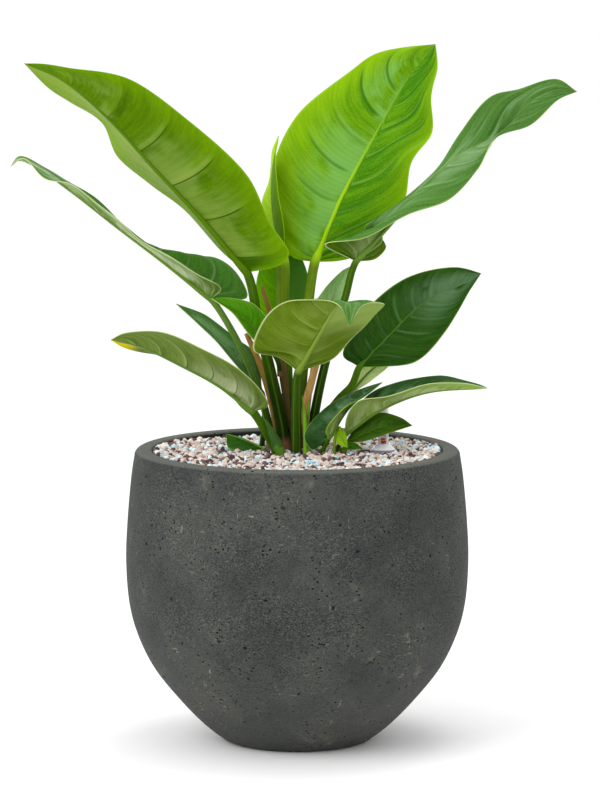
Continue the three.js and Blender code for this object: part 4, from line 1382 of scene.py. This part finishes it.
# %% Sheath and shoot finishes
def fibre_finish(name, deep, light, edge, foot, foot_from=(0.3, 0.15), foot_share=0.7):
    paper = Finish(name, Specular_IOR_Level=0.25)
    along, around = paper.chart()
    fibre = paper.weave(along * 2.5, around * 30, 4, 0.65)
    mottle = paper.noise(paper.place((1, 1, 0.4)), 160, 3, 0.6)
    paper.colour = paper.mix(fibre.step(0.3, 0.7) * 0.7 + (mottle - 0.5) * 0.7 + 0.1, deep, light)
    from_front = abs(around - 0.25)
    paper.coat((from_front - 0.24).line(0.08) * 0.5, edge)
    stains = paper.noise(paper.place((1, 1, 0.5)), 90, 3, 0.7).step(0.56, 0.66)
    paper.coat(stains * 0.55, edge)
    paper.coat(along.step(*foot_from) * foot_share, foot)
    paper.paint(paper.colour, 0.62 + (fibre - 0.5) * 0.2)
    paper.relief(fibre, 0.5, 0.7)
    return paper


FIBRE_TONES = {
    "sheath_tan": ((120, 84, 18), (196, 156, 70), (70, 46, 10), (120, 84, 50)),
    "sheath_brown": ((110, 76, 24), (188, 144, 70), (60, 50, 14), (58, 58, 14)),
    "sheath_pink": ((150, 104, 50), (210, 170, 100), (110, 120, 40), (170, 116, 104)),
    "shoot_lime": ((80, 136, 4), (138, 188, 30), (64, 114, 4), (150, 130, 60)),
    "shoot_leafy": ((18, 56, 0), (60, 104, 4), (96, 140, 30), (50, 80, 10)),
}
# The brown sheath is darker olive over its lower part.
FOOT_REACH = {"sheath_brown": ((0.72, 0.5), 0.8)}
FIBRES = {
    name: fibre_finish(name, *tones(colours), *FOOT_REACH.get(name, ()))
    for name, colours in FIBRE_TONES.items()
}

# %% Make the sheaths and shoots
SHEATHS = [
    ("sheath_tan", "sheath_tan", "sheath", (5, 7, 7, 5),
     [(-19, 29, 291), (-26, 28, 341), (-36, 28, 377), (-52, 26, 415)]),
    ("sheath_brown", "sheath_brown", "sheath", (5, 9, 7, 4),
     [(-4, 26, 291), (-11, 28, 346), (-20, 24, 408), (-36, 18, 464)]),
    ("sheath_pink", "sheath_pink", "sheath", (4, 9, 8, 7),
     [(9, 21, 292), (9, 19, 342), (15, 19, 368), (21, 20, 390)]),
    ("shoot_left", "shoot_lime", "shoot", (5, 5, 4, 1),
     [(8.5, -1, 293), (8.5, 0, 308), (8, 1, 323), (5, 2, 354)]),
    ("shoot_right", "shoot_lime", "shoot", (3, 3.5, 3, 1),
     [(13, 10, 291), (12, 10, 304), (10, 10, 317), (12, 9, 347)]),
    ("shoot_broad", "shoot_leafy", "shoot", (9, 12, 8, 1.5),
     [(-17, -8, 295), (-20, -8, 303), (-25, -6, 315), (-33, -2, 331)]),
]
SHEATH_STEPS = 61
GROOVED = {"sheath": 0.8, "shoot": 0.3}
FLATTENED = {"sheath": 0.6, "shoot": 0.9}
SHEATH_UP = (0.15, -1.0, 0.1)

even = np.linspace(0, 1, SHEATH_STEPS)
for name, finish, slot, widths, path in SHEATHS:
    foot = (path[0][0], path[0][1], path[0][2] - ROOT_DEPTH)
    line = at_share(evenly([foot, *path]), even)
    radius = np.interp(even, np.linspace(0, 1, 5), (widths[0], *widths)) / 2
    up = np.tile(SHEATH_UP, (SHEATH_STEPS, 1))
    grooved = np.full(SHEATH_STEPS, GROOVED[slot])
    piece = tube(name + "_fine", line, radius, up, grooved, FLATTENED[slot])
    smooth_shading(piece, 60)
    finished(piece, [FIBRES[finish]], slot, name)

# %% [markdown]
# ## The water gauge
# A white tube with a clear strip stands in a cone-shaped collar. In it a thin rod with a float
# rises with the water, and its red marker with a yellow band shows the level. All of it is
# turned on the lathe; the clear plastic is made with Alpha, which keeps its look when the
# model is used elsewhere. The float rides on the body that slides.

# %% Sizes of the gauge
GAUGE = (88, 15)
GAUGE_TOP = 344
GAUGE_BOTTOM = 250
TUBE_RADIUS = 5.3
TUBE_BORE = 3.7
COLLAR_RADIUS = 13.8
COLLAR_FOOT = 293
SKIRT_TOP = 296
COLLAR_TOP = 303
COLLAR_GAP = 0.35
FLOAT_RADIUS = 3.2
ROD_RADIUS = 0.8
MARKER_RADIUS = 2.6
MARKER_MIDDLE = 306
FLOAT_RISE = 25
FLOAT_FOOT = GAUGE_BOTTOM + 2.4

# %% Gauge finishes
def clear_plastic(name, colour, alpha, *, dense=None, solid_below=0, window=None):
    """See-through plastic. Below a height it is thick, darker and more solid. The window is
    almost clear: it is given by its middle, its half width and its bottom and top, in
    millimetres, and lies on the side towards -y."""
    plastic = Finish(name, Specular_IOR_Level=0.7, Roughness=0.12, Base_Color=colour)
    sideways, depth, height = plastic.parts(plastic.place())
    if dense:
        low = height.step(solid_below * MM, (solid_below - 0.8) * MM)
        plastic.paint(plastic.mix(low * 0.9, colour, dense))
        plastic.put(plastic.shader.inputs["Alpha"], alpha + low * (0.98 - alpha))
    if window:
        (x, y), half_width, bottom, top = window
        clear = (sideways - x * MM).line(half_width * MM).math("GREATER_THAN", 0.05)
        clear = clear * height.step((bottom - 0.5) * MM, bottom * MM)
        clear = clear * height.step((top + 0.5) * MM, top * MM) * depth.step(y * MM, (y - 1) * MM)
        plastic.put(plastic.shader.inputs["Alpha"], alpha - clear * (alpha - 0.02))
    return plastic


def marker_finish():
    marker = Finish("gauge_marker", Roughness=0.35, Specular_IOR_Level=0.3)
    height = marker.parts(marker.place())[2]
    band = (height - (MARKER_MIDDLE + 0.5) * MM).line(0.9 * MM).math("GREATER_THAN", 0.1)
    on_marker = height.step((MARKER_MIDDLE - 3.2) * MM, (MARKER_MIDDLE - 3) * MM)
    marker.colour = marker.mix(on_marker, tone(225, 225, 228), tone(190, 8, 0))
    marker.coat(band * on_marker, tone(255, 160, 20))
    marker.paint(marker.colour)
    return marker


# %% Turn the gauge
tube_outline = [(0, GAUGE_BOTTOM), (TUBE_RADIUS, GAUGE_BOTTOM)]
tube_outline += rounded((TUBE_RADIUS - 1, GAUGE_TOP - 1), 1, 0, 90, 4)
tube_outline += [(TUBE_BORE, GAUGE_TOP), (TUBE_BORE, GAUGE_BOTTOM + 2), (0, GAUGE_BOTTOM + 2)]
collar_outline = [
    (TUBE_RADIUS + COLLAR_GAP, COLLAR_FOOT), (COLLAR_RADIUS, COLLAR_FOOT),
    (COLLAR_RADIUS, SKIRT_TOP), (COLLAR_RADIUS - 1, SKIRT_TOP + 1),
    (TUBE_RADIUS + 4, COLLAR_TOP - 3), (TUBE_RADIUS + 1.6, COLLAR_TOP),
    (TUBE_RADIUS + COLLAR_GAP, COLLAR_TOP), (TUBE_RADIUS + COLLAR_GAP, COLLAR_FOOT),
]
float_outline = [
    (0, FLOAT_FOOT), *rounded((FLOAT_RADIUS - 1, FLOAT_FOOT + 1.6), 1, -90, 0, 4),
    (FLOAT_RADIUS, GAUGE_BOTTOM + 22), (ROD_RADIUS, GAUGE_BOTTOM + 26),
    (ROD_RADIUS, MARKER_MIDDLE - 2.4), (MARKER_RADIUS, MARKER_MIDDLE - 2.2),
    (MARKER_RADIUS, MARKER_MIDDLE + 2.2), (ROD_RADIUS, MARKER_MIDDLE + 2.4), (0, MARKER_MIDDLE + 3),
]
gauge_tube = spun("clear_tube", tube_outline, 48, GAUGE)
gauge_collar = spun("cone_collar", collar_outline, 64, GAUGE)
gauge_float = spun("float_rod", float_outline, 32, GAUGE)
for piece in (gauge_tube, gauge_collar, gauge_float):
    smooth_shading(piece, 35)
clear = clear_plastic(
    "gauge_clear", tone(250, 248, 255), 0.6,
    window=(GAUGE, 3.4, COLLAR_TOP, MARKER_MIDDLE + FLOAT_RISE + 3.4),
)
lilac = clear_plastic(
    "gauge_cone", tone(250, 248, 255), 0.96, dense=tone(112, 100, 122),
    solid_below=SKIRT_TOP + 1.7,
)
finished(gauge_tube, [clear], "gauge_clear", "gauge_tube")
finished(gauge_collar, [lilac], "gauge_cone", "gauge_collar")
finished(gauge_float, [marker_finish()], "gauge_red", "gauge_float", body="float")

# %% Lay the gravel round what stands in it
STEM_CLEAR = 0.6
COLLAR_CLEAR = 1.2
blocked = [(GAUGE[0], GAUGE[1], COLLAR_RADIUS + COLLAR_CLEAR)]
for leaf in LEAVES:
    if not leaf["rootless"]:
        foot = leaf["stalk"][0]
        blocked.append((foot[0], foot[1], leaf["stalk_width"][0] / 2 + STEM_CLEAR))
for *_, widths, path in SHEATHS:
    blocked.append((path[0][0], path[0][1], widths[0] / 2))

laid = laid_grains(blocked)
for kind in GRAIN_SHARES:
    piece = grain_piece(kind, [grain for grain in laid if grain[0] == kind])
    finished(piece, [grain_finish(kind)], "gravel")
    print(piece.name, "triangles:", len(piece.data.polygons))

# %% [markdown]
# ## The floor
# A pale floor catches the soft shadow that sets the pot down. It is joined to no body of the
# object.

# %% Floor
FLOOR_SIZE = 30
FLOOR_DROP = 0.0005

fresh()
bpy.ops.mesh.primitive_plane_add(size=FLOOR_SIZE, location=(0, 0, -FLOOR_DROP))
floor = bpy.context.object
floor.name = "floor"
floor_finish = Finish(
    "pale_floor", Base_Color=(0.98, 0.98, 0.98, 1), Roughness=0.8, Specular_IOR_Level=0.1
)
floor.data.materials.append(floor_finish.material)
